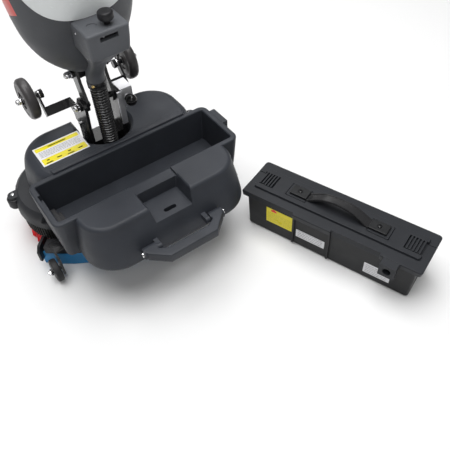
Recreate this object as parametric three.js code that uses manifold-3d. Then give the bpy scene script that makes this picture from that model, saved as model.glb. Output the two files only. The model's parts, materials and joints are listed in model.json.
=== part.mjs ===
// Walk-behind wet dry floor scrubber with its lift-out battery pack standing beside it.
// Millimetres, +Z up. X runs along the battery bay, -Y is the operator's side.
import * as THREE from 'three';
import { mergeVertices } from 'three/addons/utils/BufferGeometryUtils.js';
import Module from 'manifold-3d';

const wasm = await Module();
wasm.setup();

// ---- driving dimensions ----------------------------------------------------------------
const GAP = 0.3;              // air left between neighbouring pieces

const BAY_LENGTH = 372;       // opening of the battery bay
const BAY_WIDTH = 106;
const BAY_FLOOR_Z = 126;
const RIM_Z = 200;            // top of the head cover
const RIM_LENGTH = 398;       // outside of the bay box
const RIM_WIDTH = 130;
const COVER_BASE_Z = 112;     // where the cover stands on the brush deck

const BULGE_TOP = { halfX: 160, front: -124, corner: 52 };
const BULGE_LOW = { halfX: 170, front: -152, corner: 66 };
const BULGE_BASE_Z = 106;
const NOTCH_HALF_X = 44;      // recess between the two lobes
const NOTCH_BACK_Y = -75;
const NOTCH_FLOOR_Z = 170;

const BRUSH_X = 110;          // brush axes, either side of the middle
const BRUSH_Y = 132;
const BRUSH_R = 107;
const DECK_R = 112;           // round ends of the brush deck
const DECK_BASE_Z = 78;
const SKIRT_BASE_Z = 38;

const PUMP = { y: -92, z: 136, r: 17 };

const NECK_Y = 136;           // neck well and swivel axis
const WELL_R = 54;
const WELL_FLOOR_Z = 116;
const TILT_Y = 126;           // tilt axis of the column
const TILT_Z = 270;
const CHEEK_X = 35;           // middle of each cradle cheek
const ARM_X = 27;             // middle of each yoke arm
const UPPER_BOLT = { y: 139, z: 336 };
const HOSE_Y = 112;
const HOSE_R = 16.5;

const WHEEL_X = 110;          // transport wheels
const WHEEL_Y = 218;
const WHEEL_Z = 267;
const WHEEL_R = 42;
const STRAP_TILT = 50;        // lean of the wheel brackets, degrees

const TANK_Y = 138;           // middle of the tank column
const TANK_TOP_Z = 742;
const TANK_WALL = 4;
const HOSE_BOX_TOP_Z = 476;              // flat top of the hose box under the tank
const HOSE_BOX_FRONT_Y = 0;
const DRAIN = { x: 8, y: 19, r: 13 };    // knob on the hose box

const SQUEEGEE_R = 306;       // bend of the squeegee in plan
const SQUEEGEE_Y = 271;       // centre of that bend
const SQUEEGEE_HALF_ANGLE = 43.4;
const SQUEEGEE_PORT_Y = SQUEEGEE_Y - SQUEEGEE_R;
const GUIDE = { x: 70, y: 2 };  // posts the squeegee rides on

const BUMPER = { x: 218, y: 160, z: 92, r: 15 };  // corner rollers
const CARRY = { y: -160.5, z: 139 };  // hinge axis of the carry handle

const HANDLE_TOP_Z = 1046;
const BAR_Z = HANDLE_TOP_Z - 4;  // middle of the handlebar
const SPINE_Y = 178;          // column tube, stem and handlebar

const PACK = { x: 287, y: -271, turn: -69.6 };
const PACK_LENGTH = 390;      // flange of the pack lid
const PACK_WIDTH = 106;
const CASE_LENGTH = 368;
const CASE_WIDTH = 90;
const CASE_TOP_Z = 84;
const PACK_TOP_Z = 103;
const LATCH_RIBS = 5;
const LATCH_RIB_PITCH = 6.4;

// ---- finishes --------------------------------------------------------------------------
const finish = (color, roughness, metalness = 0) =>
  new THREE.MeshStandardMaterial({ color, roughness, metalness });
const shellPlastic = finish('#3b3d42', 0.62);
const deckPlastic = finish('#2a2b2e', 0.6);
const blackPlastic = finish('#161719', 0.5);
const tankPlastic = finish('#46484b', 0.55);
const panelPlastic = finish('#a9adac', 0.5);
const accentPlastic = finish('#e0504a', 0.45);
const rubber = finish('#1c1c1d', 0.85);
const hoseRubber = finish('#101011', 0.35);
const steel = finish('#b9bcc0', 0.3, 0.9);
const blackSteel = finish('#121214', 0.3, 0.6);
const bristle = finish('#d8141c', 0.7);
const blade = finish('#2f7fb5', 0.6);
const motorCase = finish('#6c6f73', 0.4, 0.8);

// ---- solids ----------------------------------------------------------------------------
// Turns a closed geometry into a solid that can be joined and cut.
function solid(geometry) {
  const bare = geometry.clone();
  for (const name of Object.keys(bare.attributes)) {
    if (name !== 'position') bare.deleteAttribute(name);
  }
  const merged = mergeVertices(bare, 1e-4);
  const index = [];
  for (let i = 0; i < merged.index.count; i += 3) {
    const corners = [0, 1, 2].map((k) => merged.index.getX(i + k));
    if (new Set(corners).size === 3) index.push(...corners);
  }
  return new wasm.Manifold(new wasm.Mesh({
    numProp: 3,
    vertProperties: new Float32Array(merged.attributes.position.array),
    triVerts: new Uint32Array(index),
  }));
}

function geometryOf(shape) {
  const mesh = shape.getMesh();
  const geometry = new THREE.BufferGeometry();
  const positions = new Float32Array(mesh.vertProperties);
  geometry.setAttribute('position', new THREE.BufferAttribute(positions, 3));
  geometry.setIndex(new THREE.BufferAttribute(new Uint32Array(mesh.triVerts), 1));
  return geometry;
}

const join = (...shapes) => shapes.reduce((all, next) => all.add(next));
const cut = (shape, ...tools) => tools.reduce((rest, tool) => rest.subtract(tool), shape);

// Box between two corners.
function block(x0, x1, y0, y1, z0, z1) {
  const geometry = new THREE.BoxGeometry(x1 - x0, y1 - y0, z1 - z0);
  geometry.translate((x0 + x1) / 2, (y0 + y1) / 2, (z0 + z1) / 2);
  return solid(geometry);
}

// Round bar along one axis, from a to b; u and v are the other two coordinates in order.
function rod(axis, radius, a, b, u, v, sides = 20) {
  const geometry = new THREE.CylinderGeometry(radius, radius, b - a, sides);
  const middle = (a + b) / 2;
  if (axis === 'x') geometry.rotateZ(Math.PI / 2).translate(middle, u, v);
  if (axis === 'y') geometry.translate(u, middle, v);
  if (axis === 'z') geometry.rotateX(Math.PI / 2).translate(u, v, middle);
  return solid(geometry);
}

// Profile of a turned body: one that doesn't start on the axis is closed on itself.
function turnedProfile(profile) {
  const points = profile.map(([radius, along]) => new THREE.Vector2(radius, along));
  return profile[0][0] > 0 ? [...points, points[0].clone()] : points;
}

// Turned body about a vertical axis through (x, y); the profile lists [radius, z].
function turned(profile, x, y, sides = 28) {
  const geometry = new THREE.LatheGeometry(turnedProfile(profile), sides);
  geometry.rotateX(Math.PI / 2).translate(x, y, 0);
  return outward(solid(geometry));
}

// A mesh that came out inside-out is turned over.
function outward(shape) {
  if (shape.volume() > 0) return shape;
  const mesh = shape.getMesh();
  const flipped = new Uint32Array(mesh.triVerts).reverse();
  return new wasm.Manifold(new wasm.Mesh({
    numProp: 3, vertProperties: mesh.vertProperties, triVerts: flipped,
  }));
}

// Wheel-like body about an X axis through (y, z); the profile lists [radius, x].
function wheelBody(profile, y, z, sides = 32) {
  const geometry = new THREE.LatheGeometry(turnedProfile(profile), sides);
  geometry.rotateZ(-Math.PI / 2).translate(0, y, z);
  return outward(solid(geometry));
}

// Rounded rectangle as a list of points, with the same count for any size.
function roundedOutline(x0, x1, y0, y1, radius, steps = 6) {
  const corners = [[x1 - radius, y1 - radius, 0], [x0 + radius, y1 - radius, 90],
    [x0 + radius, y0 + radius, 180], [x1 - radius, y0 + radius, 270]];
  const points = [];
  for (const [cx, cy, start] of corners) {
    for (let i = 0; i <= steps; i += 1) {
      const angle = THREE.MathUtils.degToRad(start + (90 * i) / steps);
      points.push(new THREE.Vector2(cx + radius * Math.cos(angle), cy + radius * Math.sin(angle)));
    }
  }
  return points;
}

// Oval outline, squarer than an ellipse when power is above 2.
function ovalOutline(halfX, halfY, cx, cy, power = 2, count = 32) {
  return Array.from({ length: count }, (_, i) => {
    const angle = (2 * Math.PI * i) / count;
    const c = Math.cos(angle);
    const s = Math.sin(angle);
    const x = Math.sign(c) * Math.abs(c) ** (2 / power);
    const y = Math.sign(s) * Math.abs(s) ** (2 / power);
    return new THREE.Vector2(cx + halfX * x, cy + halfY * y);
  });
}

// Closed skin through outlines stacked at rising heights.
function loft(levels) {
  const count = levels[0].outline.length;
  const positions = levels.flatMap(({ z, outline }) => outline.flatMap((p) => [p.x, p.y, z]));
  const index = [];
  for (let level = 0; level + 1 < levels.length; level += 1) {
    for (let i = 0; i < count; i += 1) {
      const a = level * count + i;
      const b = level * count + ((i + 1) % count);
      index.push(a, b, b + count, a, b + count, a + count);
    }
  }
  const top = (levels.length - 1) * count;
  for (const [a, b, c] of THREE.ShapeUtils.triangulateShape(levels[0].outline, [])) index.push(c, b, a);
  for (const [a, b, c] of THREE.ShapeUtils.triangulateShape(levels.at(-1).outline, [])) {
    index.push(top + a, top + b, top + c);
  }
  const geometry = new THREE.BufferGeometry();
  geometry.setAttribute('position', new THREE.BufferAttribute(new Float32Array(positions), 3));
  geometry.setIndex(index);
  return solid(geometry);
}

// Flat outline pushed from z0 to z1.
const slab = (outline, z0, z1) => loft([{ z: z0, outline }, { z: z1, outline }]);

// Flat plate standing in a YZ plane: outline lists [y, z], thickness runs from x0 to x1.
function sidePlate(outline, x0, x1) {
  const shape = new THREE.Shape(outline.map(([y, z]) => new THREE.Vector2(y, z)));
  const geometry = new THREE.ExtrudeGeometry(shape, { depth: x1 - x0, bevelEnabled: false });
  const turn = new THREE.Matrix4().makeBasis(
    new THREE.Vector3(0, 1, 0), new THREE.Vector3(0, 0, 1), new THREE.Vector3(1, 0, 0));
  geometry.applyMatrix4(turn).translate(x0, 0, 0);
  return solid(geometry);
}

// Round tube or bar along a smooth curve through points.
function tube(points, radius, steps, sides = 12) {
  const section = new THREE.Shape();
  section.absarc(0, 0, radius, 0, 2 * Math.PI);
  const curve = new THREE.CatmullRomCurve3(points.map((p) => new THREE.Vector3(...p)));
  const options = { steps, extrudePath: curve, curveSegments: sides / 2 };
  return outward(solid(new THREE.ExtrudeGeometry(section, options)));
}

// ---- assembly --------------------------------------------------------------------------
const assembly = new THREE.Group();

function add(name, shape, material, parent = assembly) {
  const mesh = new THREE.Mesh(geometryOf(shape), material);
  mesh.name = name;
  parent.add(mesh);
}

// Calls make for the left (-1) and the right (+1) copy of a paired piece.
function bothSides(make) {
  make('left', -1);
  make('right', 1);
}

// Box given by its distance from the middle plane, on one side of it.
function sideBlock(side, inner, outer, y0, y1, z0, z1) {
  return side < 0 ? block(-outer, -inner, y0, y1, z0, z1) : block(inner, outer, y0, y1, z0, z1);
}

function sideRod(side, radius, inner, outer, y, z, sides) {
  return side < 0 ? rod('x', radius, -outer, -inner, y, z, sides)
    : rod('x', radius, inner, outer, y, z, sides);
}

// ---- head cover ------------------------------------------------------------------------
// One outline of the operator's-side bulge, between the top edge (0) and the belly (1).
function bulgeOutline(share, inset = 0) {
  const mix = (name) => THREE.MathUtils.lerp(BULGE_TOP[name], BULGE_LOW[name], share);
  const half = mix('halfX') - inset;
  return roundedOutline(-half, half, mix('front') + inset, 0, mix('corner') - inset);
}

function bulge() {
  return loft([
    { z: BULGE_BASE_Z, outline: bulgeOutline(0.75, 4) },
    { z: 114, outline: bulgeOutline(1) },
    { z: 130, outline: bulgeOutline(0.92) },
    { z: 160, outline: bulgeOutline(0.55) },
    { z: 184, outline: bulgeOutline(0.2) },
    { z: 194, outline: bulgeOutline(0.05) },
    { z: 198.4, outline: bulgeOutline(0, 3) },
    { z: RIM_Z, outline: bulgeOutline(0, 8) },
  ]);
}

function bayBox() {
  const half = { x: RIM_LENGTH / 2, y: RIM_WIDTH / 2 };
  const outline = (inset, radius) =>
    roundedOutline(-half.x + inset, half.x - inset, -half.y + inset, half.y - inset, radius);
  return loft([
    { z: 101, outline: outline(12, 10) },
    { z: 106, outline: outline(8, 12) },
    { z: 194, outline: outline(1, 15) },
    { z: 198.6, outline: outline(0, 16) },
    { z: RIM_Z, outline: outline(1.4, 15) },
  ]);
}

// Front hump over the motors, a low rounded box with two lobes.
function hump(inset = 0, drop = 0) {
  const outline = (grow, back) => roundedOutline(
    -170 - grow + inset, 170 + grow - inset, 40, back - inset, 62 - inset + grow / 2, 7);
  return loft([
    { z: COVER_BASE_Z - (inset ? 1 : 0), outline: outline(12, 212) },
    { z: 150, outline: outline(9, 208) },
    { z: 180 - drop, outline: outline(3, 202) },
    { z: 193 - drop, outline: outline(-4, 195) },
    { z: RIM_Z - drop, outline: outline(-16, 184) },
  ]);
}

// Round well around the neck, open towards the front of the machine.
function neckWell(radius, floor, top) {
  const flare = (z, grow) => ({ z, outline: ovalOutline(radius + grow, radius + grow, 0, NECK_Y, 2, 28) });
  const bowl = loft([flare(floor, 0), flare(188, 0), flare(195, 2), flare(top, 9)]);
  const mouth = loft([
    { z: floor, outline: roundedOutline(-radius + 12, radius - 12, NECK_Y, 240, 6) },
    { z: 188, outline: roundedOutline(-radius + 12, radius - 12, NECK_Y, 240, 6) },
    { z: top, outline: roundedOutline(-radius, radius, NECK_Y, 240, 12) },
  ]);
  return join(bowl, mouth);
}

function bay() {
  const half = { x: BAY_LENGTH / 2, y: BAY_WIDTH / 2 };
  const outline = (inset) =>
    roundedOutline(-half.x + inset, half.x - inset, -half.y + inset, half.y - inset, 4, 2);
  return loft([{ z: BAY_FLOOR_Z, outline: outline(3) }, { z: RIM_Z + 5, outline: outline(0) }]);
}

function notch() {
  const opening = loft([
    { z: NOTCH_FLOOR_Z, outline: roundedOutline(-39, 39, -175, NOTCH_BACK_Y - 3, 3, 2) },
    { z: RIM_Z + 5, outline: roundedOutline(-NOTCH_HALF_X, NOTCH_HALF_X, -175, NOTCH_BACK_Y, 3, 2) },
  ]);
  const lowStrip = block(-NOTCH_HALF_X, NOTCH_HALF_X, NOTCH_BACK_Y - 8, -RIM_WIDTH / 2 + 1, 194, RIM_Z + 5);
  const keySlot = slab(roundedOutline(-13, 13, -123, -114, 4.4, 3), 158, NOTCH_FLOOR_Z + 1);
  return join(opening, lowStrip, keySlot);
}

function headCover() {
  const raisedEdge = loft([
    { z: 196, outline: roundedOutline(-146, 150, 61, 75, 4, 2) },
    { z: 203, outline: roundedOutline(-146, 150, 61, 75, 4, 2) },
    { z: 204.5, outline: roundedOutline(-144, 148, 62, 72, 4, 2) },
  ]);
  const outside = join(bulge(), bayBox(), hump(), raisedEdge);
  const motorRoom = cut(hump(5, 5), block(-200, 200, 30, 71, 100, 210),
    neckWell(WELL_R + 4, 100, 210), block(-58, 58, NECK_Y, 240, 100, 210));
  const lobeRoom = (side) => sideBlock(side, 52, 128, -112, -70, 100, 190);
  const underNotch = block(-52.5, 52.5, -118, -70, 100, NOTCH_FLOOR_Z - 16);
  const underBay = block(-176, 176, -46, 46, 100, BAY_FLOOR_Z - 5);
  const latchPocket = block(-192, -184, -16, 27, 188, RIM_Z + 5);
  const drainHole = rod('z', 4, 118, 130, 168, -30, 12);
  const hoseHole = rod('z', 14, 100, 120, 0, HOSE_Y, 20);
  return cut(outside, bay(), notch(), neckWell(WELL_R, WELL_FLOOR_Z, RIM_Z + 6),
    motorRoom, lobeRoom(-1), lobeRoom(1), underNotch, underBay, latchPocket, drainHole, hoseHole);
}

// Clip on the right end of the bay that the pack's latch snaps behind.
function latchClip() {
  const clip = join(block(196, 211, -6, 42, 180, 197), block(196, 207, -2, 38, 168, 180.5));
  const slots = [4, 14, 24].map((y) => block(204, 212, y, y + 5, 186, 192));
  return cut(clip, ...slots);
}

// Lugs that the carry handle's screws go into.
function handleLug(side) {
  return join(sideBlock(side, 44, 56.6, CARRY.y, -136, CARRY.z - 8, CARRY.z + 8),
    sideRod(side, 8.5, 44, 56.6, CARRY.y, CARRY.z, 16));
}

function addHead() {
  add('head_cover', join(headCover(), latchClip(), handleLug(-1), handleLug(1)), shellPlastic);

  // Floor under the bulge, held up by four screws from below.
  const tray = slab(roundedOutline(-142, 142, -138, -67, 30, 5), 101, BULGE_BASE_Z - GAP);
  add('bulge_floor', cut(tray, block(-200, 200, -68, -60, 100, 110)), deckPlastic);

  // Power contacts on the left end wall inside the bay.
  const contacts = join(block(-182.4, -172, -24, 24, 134, 158), block(-172.5, -164, -14, 14, 140, 152));
  add('bay_contacts', contacts, blackPlastic);

  // Electronics and pump in the bulge.
  add('drive_controller', block(-122, -62, -108, -76, 112, 162), blackPlastic);
  const ports = [80, 104].map((x) => rod('z', 5, 148, 172, x, PUMP.y, 12));
  const pump = join(rod('x', PUMP.r, 64, 118, PUMP.y, PUMP.z), ...ports);
  add('water_pump', pump, blackPlastic);
}

// ---- brush deck ------------------------------------------------------------------------
// Straight-sided outline with half-round ends, grown or shrunk by a distance.
function deckOutline(grow = 0, steps = 9) {
  const radius = DECK_R + grow;
  return roundedOutline(-BRUSH_X - radius, BRUSH_X + radius, BRUSH_Y - radius, BRUSH_Y + radius,
    radius - 0.01, steps);
}

function addDeck() {
  const top = COVER_BASE_Z - GAP;
  const dome = loft([
    { z: DECK_BASE_Z, outline: deckOutline(0) },
    { z: 96, outline: deckOutline(-1) },
    { z: 106, outline: deckOutline(-5) },
    { z: top, outline: deckOutline(-12) },
  ]);
  const hollow = slab(deckOutline(-6), DECK_BASE_Z - 1, 92);
  const bayNotch = block(-204, 204, 0, RIM_WIDTH / 2 + 1.5, 92.5, 120);
  const hoseWay = block(-19, 19, 0, NECK_Y, 60, 120);
  const shafts = [-1, 1].map((side) => rod('z', 12, 90, 120, side * BRUSH_X, BRUSH_Y, 20));
  const arms = [-1, 1].map(bumperArm);
  const pockets = [-1, 1].map((side) =>
    rod('z', BUMPER.r + 1.5, 60, BUMPER.z + 12.2, side * BUMPER.x, BUMPER.y, 24));
  const casing = join(cut(dome, hollow, ...pockets), ...arms);
  add('brush_deck', cut(casing, bayNotch, hoseWay, ...shafts), shellPlastic);

  // Rubber splash skirt hung round the deck, notched along its lower edge.
  const skirt = cut(slab(deckOutline(-6.4), SKIRT_BASE_Z, 91.7), slab(deckOutline(-9.6), 0, 120),
    block(-150, 150, 0, 60, 0, 120), ...pockets);
  add('splash_skirt', skirt, rubber);

  bothSides((name, side) => {
    const can = [[0, 116], [40, 116], [40, 178], [34, 184], [0, 184]];
    const motor = turned(can, side * BRUSH_X, BRUSH_Y, 24);
    const shaft = rod('z', 8, 66, 117, side * BRUSH_X, BRUSH_Y, 14);
    add(`brush_motor_${name}`, join(motor, shaft), motorCase);

    const plate = turned([[9, 62], [96, 62], [99, 66], [99, 72], [30, 76], [30, 84], [9, 84]],
      side * BRUSH_X, BRUSH_Y, 26);
    add(`brush_plate_${name}`, plate, blackPlastic);
    const tufts = turned([[46, 0], [BRUSH_R, 0], [94, 61.7], [46, 61.7]],
      side * BRUSH_X, BRUSH_Y, 26);
    add(`bristles_${name}`, tufts, bristle);

    // Corner roller that keeps the deck off skirting boards.
    const low = BUMPER.z - 12;
    const high = BUMPER.z + 12;
    const section = [[4.4, low], [12, low], [BUMPER.r, low + 3],
      [BUMPER.r, high - 3], [12, high], [4.4, high]];
    const tyre = turned(section, side * BUMPER.x, BUMPER.y, 16);
    add(`bumper_roller_${name}`, tyre, rubber);
  });
}

// Arm over each corner roller, with the pin it turns on.
function bumperArm(side) {
  const x = side * BUMPER.x;
  const z = BUMPER.z + 12 + GAP;
  return join(sideBlock(side, 180, BUMPER.x, BUMPER.y - 11, BUMPER.y + 11, z, z + 5),
    rod('z', 11, z, z + 5, x, BUMPER.y, 16), rod('z', 4, BUMPER.z - 14, z + 1, x, BUMPER.y, 12));
}

// ---- carry handle ----------------------------------------------------------------------
function addCarryHandle() {
  const outer = [[82, -150], [82, -163], [78, -170], [49, -196],
    [-49, -196], [-78, -170], [-82, -163], [-82, -150]];
  const inner = [[-61, -150], [-61, -173], [-42, -183], [42, -183], [61, -173], [61, -150]];
  const outline = [...outer, ...inner].map(([x, y]) => new THREE.Vector2(x, y));
  const bail = new THREE.ExtrudeGeometry(new THREE.Shape(outline), {
    depth: 14, bevelThickness: 4, bevelSize: 3.5, bevelSegments: 2, curveSegments: 4,
  });
  bail.translate(0, 0, CARRY.z - 7);
  const ends = [-1, 1].map((side) => sideRod(side, 11, 57.5, 85.5, CARRY.y, CARRY.z, 20));
  const bores = [-1, 1].map((side) => sideRod(side, 4.4, 50, 95, CARRY.y, CARRY.z, 14));
  const trimmed = cut(solid(bail), block(-100, 100, CARRY.y, -100, 100, 180));
  add('carry_handle', cut(join(trimmed, ...ends), ...bores), shellPlastic);
}

// ---- squeegee --------------------------------------------------------------------------
// Curved bar following the squeegee's bend, between two radii and two heights.
function arcBar(inner, outer, z0, z1, halfAngle, steps = 16) {
  const at = (radius, degrees) => {
    const angle = THREE.MathUtils.degToRad(degrees - 90);
    return new THREE.Vector2(radius * Math.cos(angle), SQUEEGEE_Y + radius * Math.sin(angle));
  };
  const angles = Array.from({ length: steps + 1 }, (_, i) => halfAngle * (2 * i / steps - 1));
  const outline = [...angles.map((a) => at(outer, a)), ...angles.reverse().map((a) => at(inner, a))];
  return slab(outline, z0, z1);
}

function addSqueegee() {
  const beam = join(
    arcBar(SQUEEGEE_R - 12, SQUEEGEE_R + 12, 38, 56, SQUEEGEE_HALF_ANGLE),
    arcBar(SQUEEGEE_R - 5, SQUEEGEE_R + 5, 14, 38.5, SQUEEGEE_HALF_ANGLE));
  const port = cut(rod('z', 17, 55.5, 64, 0, SQUEEGEE_PORT_Y, 20),
    rod('z', 13, 30, 70, 0, SQUEEGEE_PORT_Y, 20));
  const drain = rod('z', 4, 10, 60, 0, SQUEEGEE_PORT_Y, 12);
  add('squeegee_beam', cut(join(beam, port), drain), blackPlastic);
  const endAngle = SQUEEGEE_HALF_ANGLE + 2.1;
  add('rear_blade', arcBar(SQUEEGEE_R + 5.8, SQUEEGEE_R + 9.4, 0, 37.7, endAngle), blade);
  add('front_blade', arcBar(SQUEEGEE_R - 9.4, SQUEEGEE_R - 5.8, 1, 37.7, endAngle), blade);

  // Flat steel carrier across the beam, with two sleeves that ride on the guide posts.
  const guideX = [-GUIDE.x, GUIDE.x];
  const sleeves = guideX.map((x) => rod('z', 12, 46, 74, x, GUIDE.y));
  const bores = guideX.map((x) => rod('z', 7.5, 40, 80, x, GUIDE.y));
  const portSpace = rod('z', 18.5, 50, 70, 0, SQUEEGEE_PORT_Y, 24);
  const carrier = join(block(-84, 84, -30, 16, 56.3, 61), ...sleeves);
  add('squeegee_carrier', cut(carrier, ...bores, portSpace), blackSteel);

  // Guide posts on a bar under the bay.
  const posts = guideX.map((x) => rod('z', 7, 44, BAY_FLOOR_Z - 5 - GAP, x, GUIDE.y));
  const bar = block(-86, 86, GUIDE.y - 10, GUIDE.y + 10, 97, 100.7);
  add('squeegee_guides', join(cut(bar, block(-20, 20, -50, 50, 90, 98)), ...posts), steel);

  bothSides((name, side) => {
    // Chamfered plate over the end of the beam.
    const angle = THREE.MathUtils.degToRad(SQUEEGEE_HALF_ANGLE + 1.1);
    const plate = new THREE.ExtrudeGeometry(new THREE.Shape([
      new THREE.Vector2(-22, 16), new THREE.Vector2(22, 16), new THREE.Vector2(22, 48),
      new THREE.Vector2(12, 60), new THREE.Vector2(-14, 60), new THREE.Vector2(-22, 50),
    ]), { depth: 6, bevelEnabled: false });
    const across = new THREE.Vector3(side * Math.sin(angle), -Math.cos(angle), 0);
    const along = new THREE.Vector3(Math.cos(angle), side * Math.sin(angle), 0).multiplyScalar(side);
    const frame = new THREE.Matrix4().makeBasis(across, new THREE.Vector3(0, 0, 1), along);
    frame.setPosition(across.clone().multiplyScalar(SQUEEGEE_R).add(new THREE.Vector3(0, SQUEEGEE_Y, 0)));
    plate.applyMatrix4(frame);
    const bladeSpace = join(arcBar(SQUEEGEE_R + 5, SQUEEGEE_R + 10.2, -1, 38, endAngle + 1),
      arcBar(SQUEEGEE_R - 10.2, SQUEEGEE_R - 5, -1, 38, endAngle + 1));
    const lower = block(-300, 300, -100, 200, 0, 22);
    add(`squeegee_end_${name}`, cut(outward(solid(plate)), bladeSpace, lower), blackPlastic);

    const foot = sideBlock(side, 176, 207, 10, 40, 56.3, 60);
    const leg = sideBlock(side, 203, 207, -14, 13, 14, 60);
    const axle = join(sideRod(side, 4, 206.5, 226, -2, 25, 14), sideRod(side, 7, 225.6, 229, -2, 25, 16));
    add(`caster_bracket_${name}`, join(foot, leg, axle), blackSteel);
    const section = [[4.4, 210], [21, 210], [24.6, 213], [24.6, 221], [21, 224], [4.4, 224]];
    const tread = wheelBody(section.map(([r, x]) => [r, side * x]), -2, 25, 20);
    add(`caster_wheel_${name}`, tread, rubber);
  });

  // Ribbed suction hose from the squeegee's port up to the floor of the neck well.
  const route = [[0, SQUEEGEE_PORT_Y, 64.4], [0, SQUEEGEE_PORT_Y + 3, 74], [0, -14, 82], [0, 20, 82],
    [0, 60, 82], [0, 96, 86], [0, 110, 98], [0, HOSE_Y, 115.6]];
  add('squeegee_hose', tube(route, 12.5, 18, 10), hoseRubber);
}

// ---- neck ------------------------------------------------------------------------------
function addNeck() {
  // Swivel base: a plate on the well floor, behind the hose, with an upright spindle.
  const base = join(turned([[0, 119], [7, 119], [7, 128], [6, 128], [6, 150], [0, 150]], 0, NECK_Y, 18),
    block(-30, 30, 132.5, 178, WELL_FLOOR_Z + GAP, 120.5));
  add('swivel_base', base, blackSteel);

  // Cradle: block on the spindle with a cheek on each side of the hose.
  const hub = cut(block(-38, 38, 130, 172, 129, 172), rod('z', 6.3, 120, 152, 0, NECK_Y, 18));
  const cheek = [[112, 150], [170, 129], [176, 150], [186, 218], [208, 228], [204, 244], [176, 246],
    [150, 262], [140, 281], [126, 286], [112, 281], [108, 268], [114, 225]];
  const cheeks = [-1, 1].map((side) => {
    const x = side * CHEEK_X;
    return join(sidePlate(cheek, x - 3, x + 3), sideRod(side, 6, 20, 46, TILT_Y, TILT_Z, 16),
      sideRod(side, 10, 37.5, 43, TILT_Y, TILT_Z, 6));
  });
  const well = rod('z', WELL_R - 1.5, 100, 204, 0, NECK_Y, 28);
  const frame = join(hub, ...cheeks);
  const below = cut(frame, block(-200, 200, 0, 400, 203, 400)).intersect(well);
  const above = cut(frame, block(-200, 200, 0, 400, 0, 202.9));
  add('neck_cradle', join(below, above, wheelBracket(-1), wheelBracket(1)), blackSteel);
  bothSides((name, side) => {
    const profile = [[5.4, 99], [18, 99], [30, 102], [36, 99], [WHEEL_R, 105], [WHEEL_R, 115],
      [36, 121], [30, 118], [18, 121], [5.4, 121]];
    const tyre = wheelBody(profile.map(([radius, x]) => [radius, side * x]), WHEEL_Y, WHEEL_Z, 26);
    add(`transport_wheel_${name}`, tyre, rubber);
  });

  // Parking lock: bent bright plate beside the cradle with a spring knob.
  const lock = join(block(42, 64, 105, 108, 246, 286), block(42, 64, 105, 138, 283, 286),
    block(38.3, 42.5, 105, 138, 274, 286), block(31, 42.5, 103.5, 107.5, 206, 282));
  const tiltPinSpace = rod('x', 12, 36, 50, TILT_Y, TILT_Z, 20);
  add('lock_bracket', cut(lock, tiltPinSpace, rod('y', 4.4, 100, 120, 53, 263, 16)), steel);
  const knob = new THREE.SphereGeometry(11.5, 14, 8);
  knob.translate(53, 92.5, 263);
  add('lock_knob', join(solid(knob), rod('y', 4, 98, 128, 53, 263, 14)), blackPlastic);
}

// Bent strap out to a transport wheel: drawn upright, then leaned back to the wheel's axle.
function wheelBracket(side) {
  const plate = sideBlock(side, 36, 92, -2, 2, -10, 9);
  const arm = sideBlock(side, 88, 92, -8, 8, -10, 36);
  const top = sideRod(side, 8, 88, 92, 0, 36, 16);
  const stub = join(sideRod(side, 5, 80, 124, 0, 36, 14), sideRod(side, 9, 79, 86, 0, 36, 6),
    sideRod(side, 8, 121.6, 125, 0, 36, 14));
  const shape = join(plate, arm, top, stub);
  const geometry = geometryOf(shape);
  geometry.rotateX(THREE.MathUtils.degToRad(STRAP_TILT - 90));
  const lean = THREE.MathUtils.degToRad(STRAP_TILT);
  geometry.translate(0, WHEEL_Y - 36 * Math.cos(lean), WHEEL_Z - 36 * Math.sin(lean));
  return solid(geometry);
}

// ---- column: yoke, tank and hose -------------------------------------------------------
// Outside of the tank column at each height: half width, half depth, depth centre.
const TANK_LEVELS = [
  [345, 34, 26, 141], [352, 41, 34, 139], [364, 56, 43, 138], [380, 71, 52, 137], [400, 85, 60, 136],
  [430, 98, 69, 135], [463, 105, 77, 134], [500, 109, 84, 134], [560, 112, 90, 134],
  [640, 111, 92, 136], [710, 106, 88, 140], [TANK_TOP_Z, 100, 82, 143],
];

function tankBody(inset, from = 0, top = TANK_TOP_Z) {
  const levels = TANK_LEVELS.filter(([z]) => z >= from).map(([z, halfX, halfY, y]) => ({
    z: z === TANK_TOP_Z ? top : z,
    outline: ovalOutline(halfX - inset, halfY - inset, 0, y, 2.25),
  }));
  return loft(levels);
}

// Oval window in the front of the tank that the light panel fills, as a bar along Y.
function windowBar(inset) {
  const shape = new THREE.Shape(ovalOutline(104 - inset, 118 - inset, 0, 594, 2.8));
  const bar = new THREE.ExtrudeGeometry(shape, { depth: 88, bevelEnabled: false });
  const turn = new THREE.Matrix4().makeBasis(
    new THREE.Vector3(1, 0, 0), new THREE.Vector3(0, 0, 1), new THREE.Vector3(0, -1, 0));
  bar.applyMatrix4(turn).translate(0, 108, 0);
  return solid(bar);
}

function manifoldBox(grow = 0) {
  const outline = (halfX, y0, y1, radius) =>
    roundedOutline(-halfX - grow, halfX + grow, y0 - grow, y1 + grow, radius, 3);
  return loft([
    { z: 333 + GAP, outline: outline(17, 95, 129, 16.8) },
    { z: 352, outline: outline(16.4, 88, 120, 12) },
    { z: 378, outline: outline(15.5, 66, 112, 9) },
    { z: 410, outline: outline(27, 30, 108, 7) },
    { z: 428 - grow, outline: outline(35.5, HOSE_BOX_FRONT_Y + 6, 106, 5) },
    { z: HOSE_BOX_TOP_Z - 5, outline: outline(38, HOSE_BOX_FRONT_Y, 106, 5) },
    { z: HOSE_BOX_TOP_Z + grow, outline: outline(36.5, HOSE_BOX_FRONT_Y + 2, 106, 5) },
  ]);
}

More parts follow.
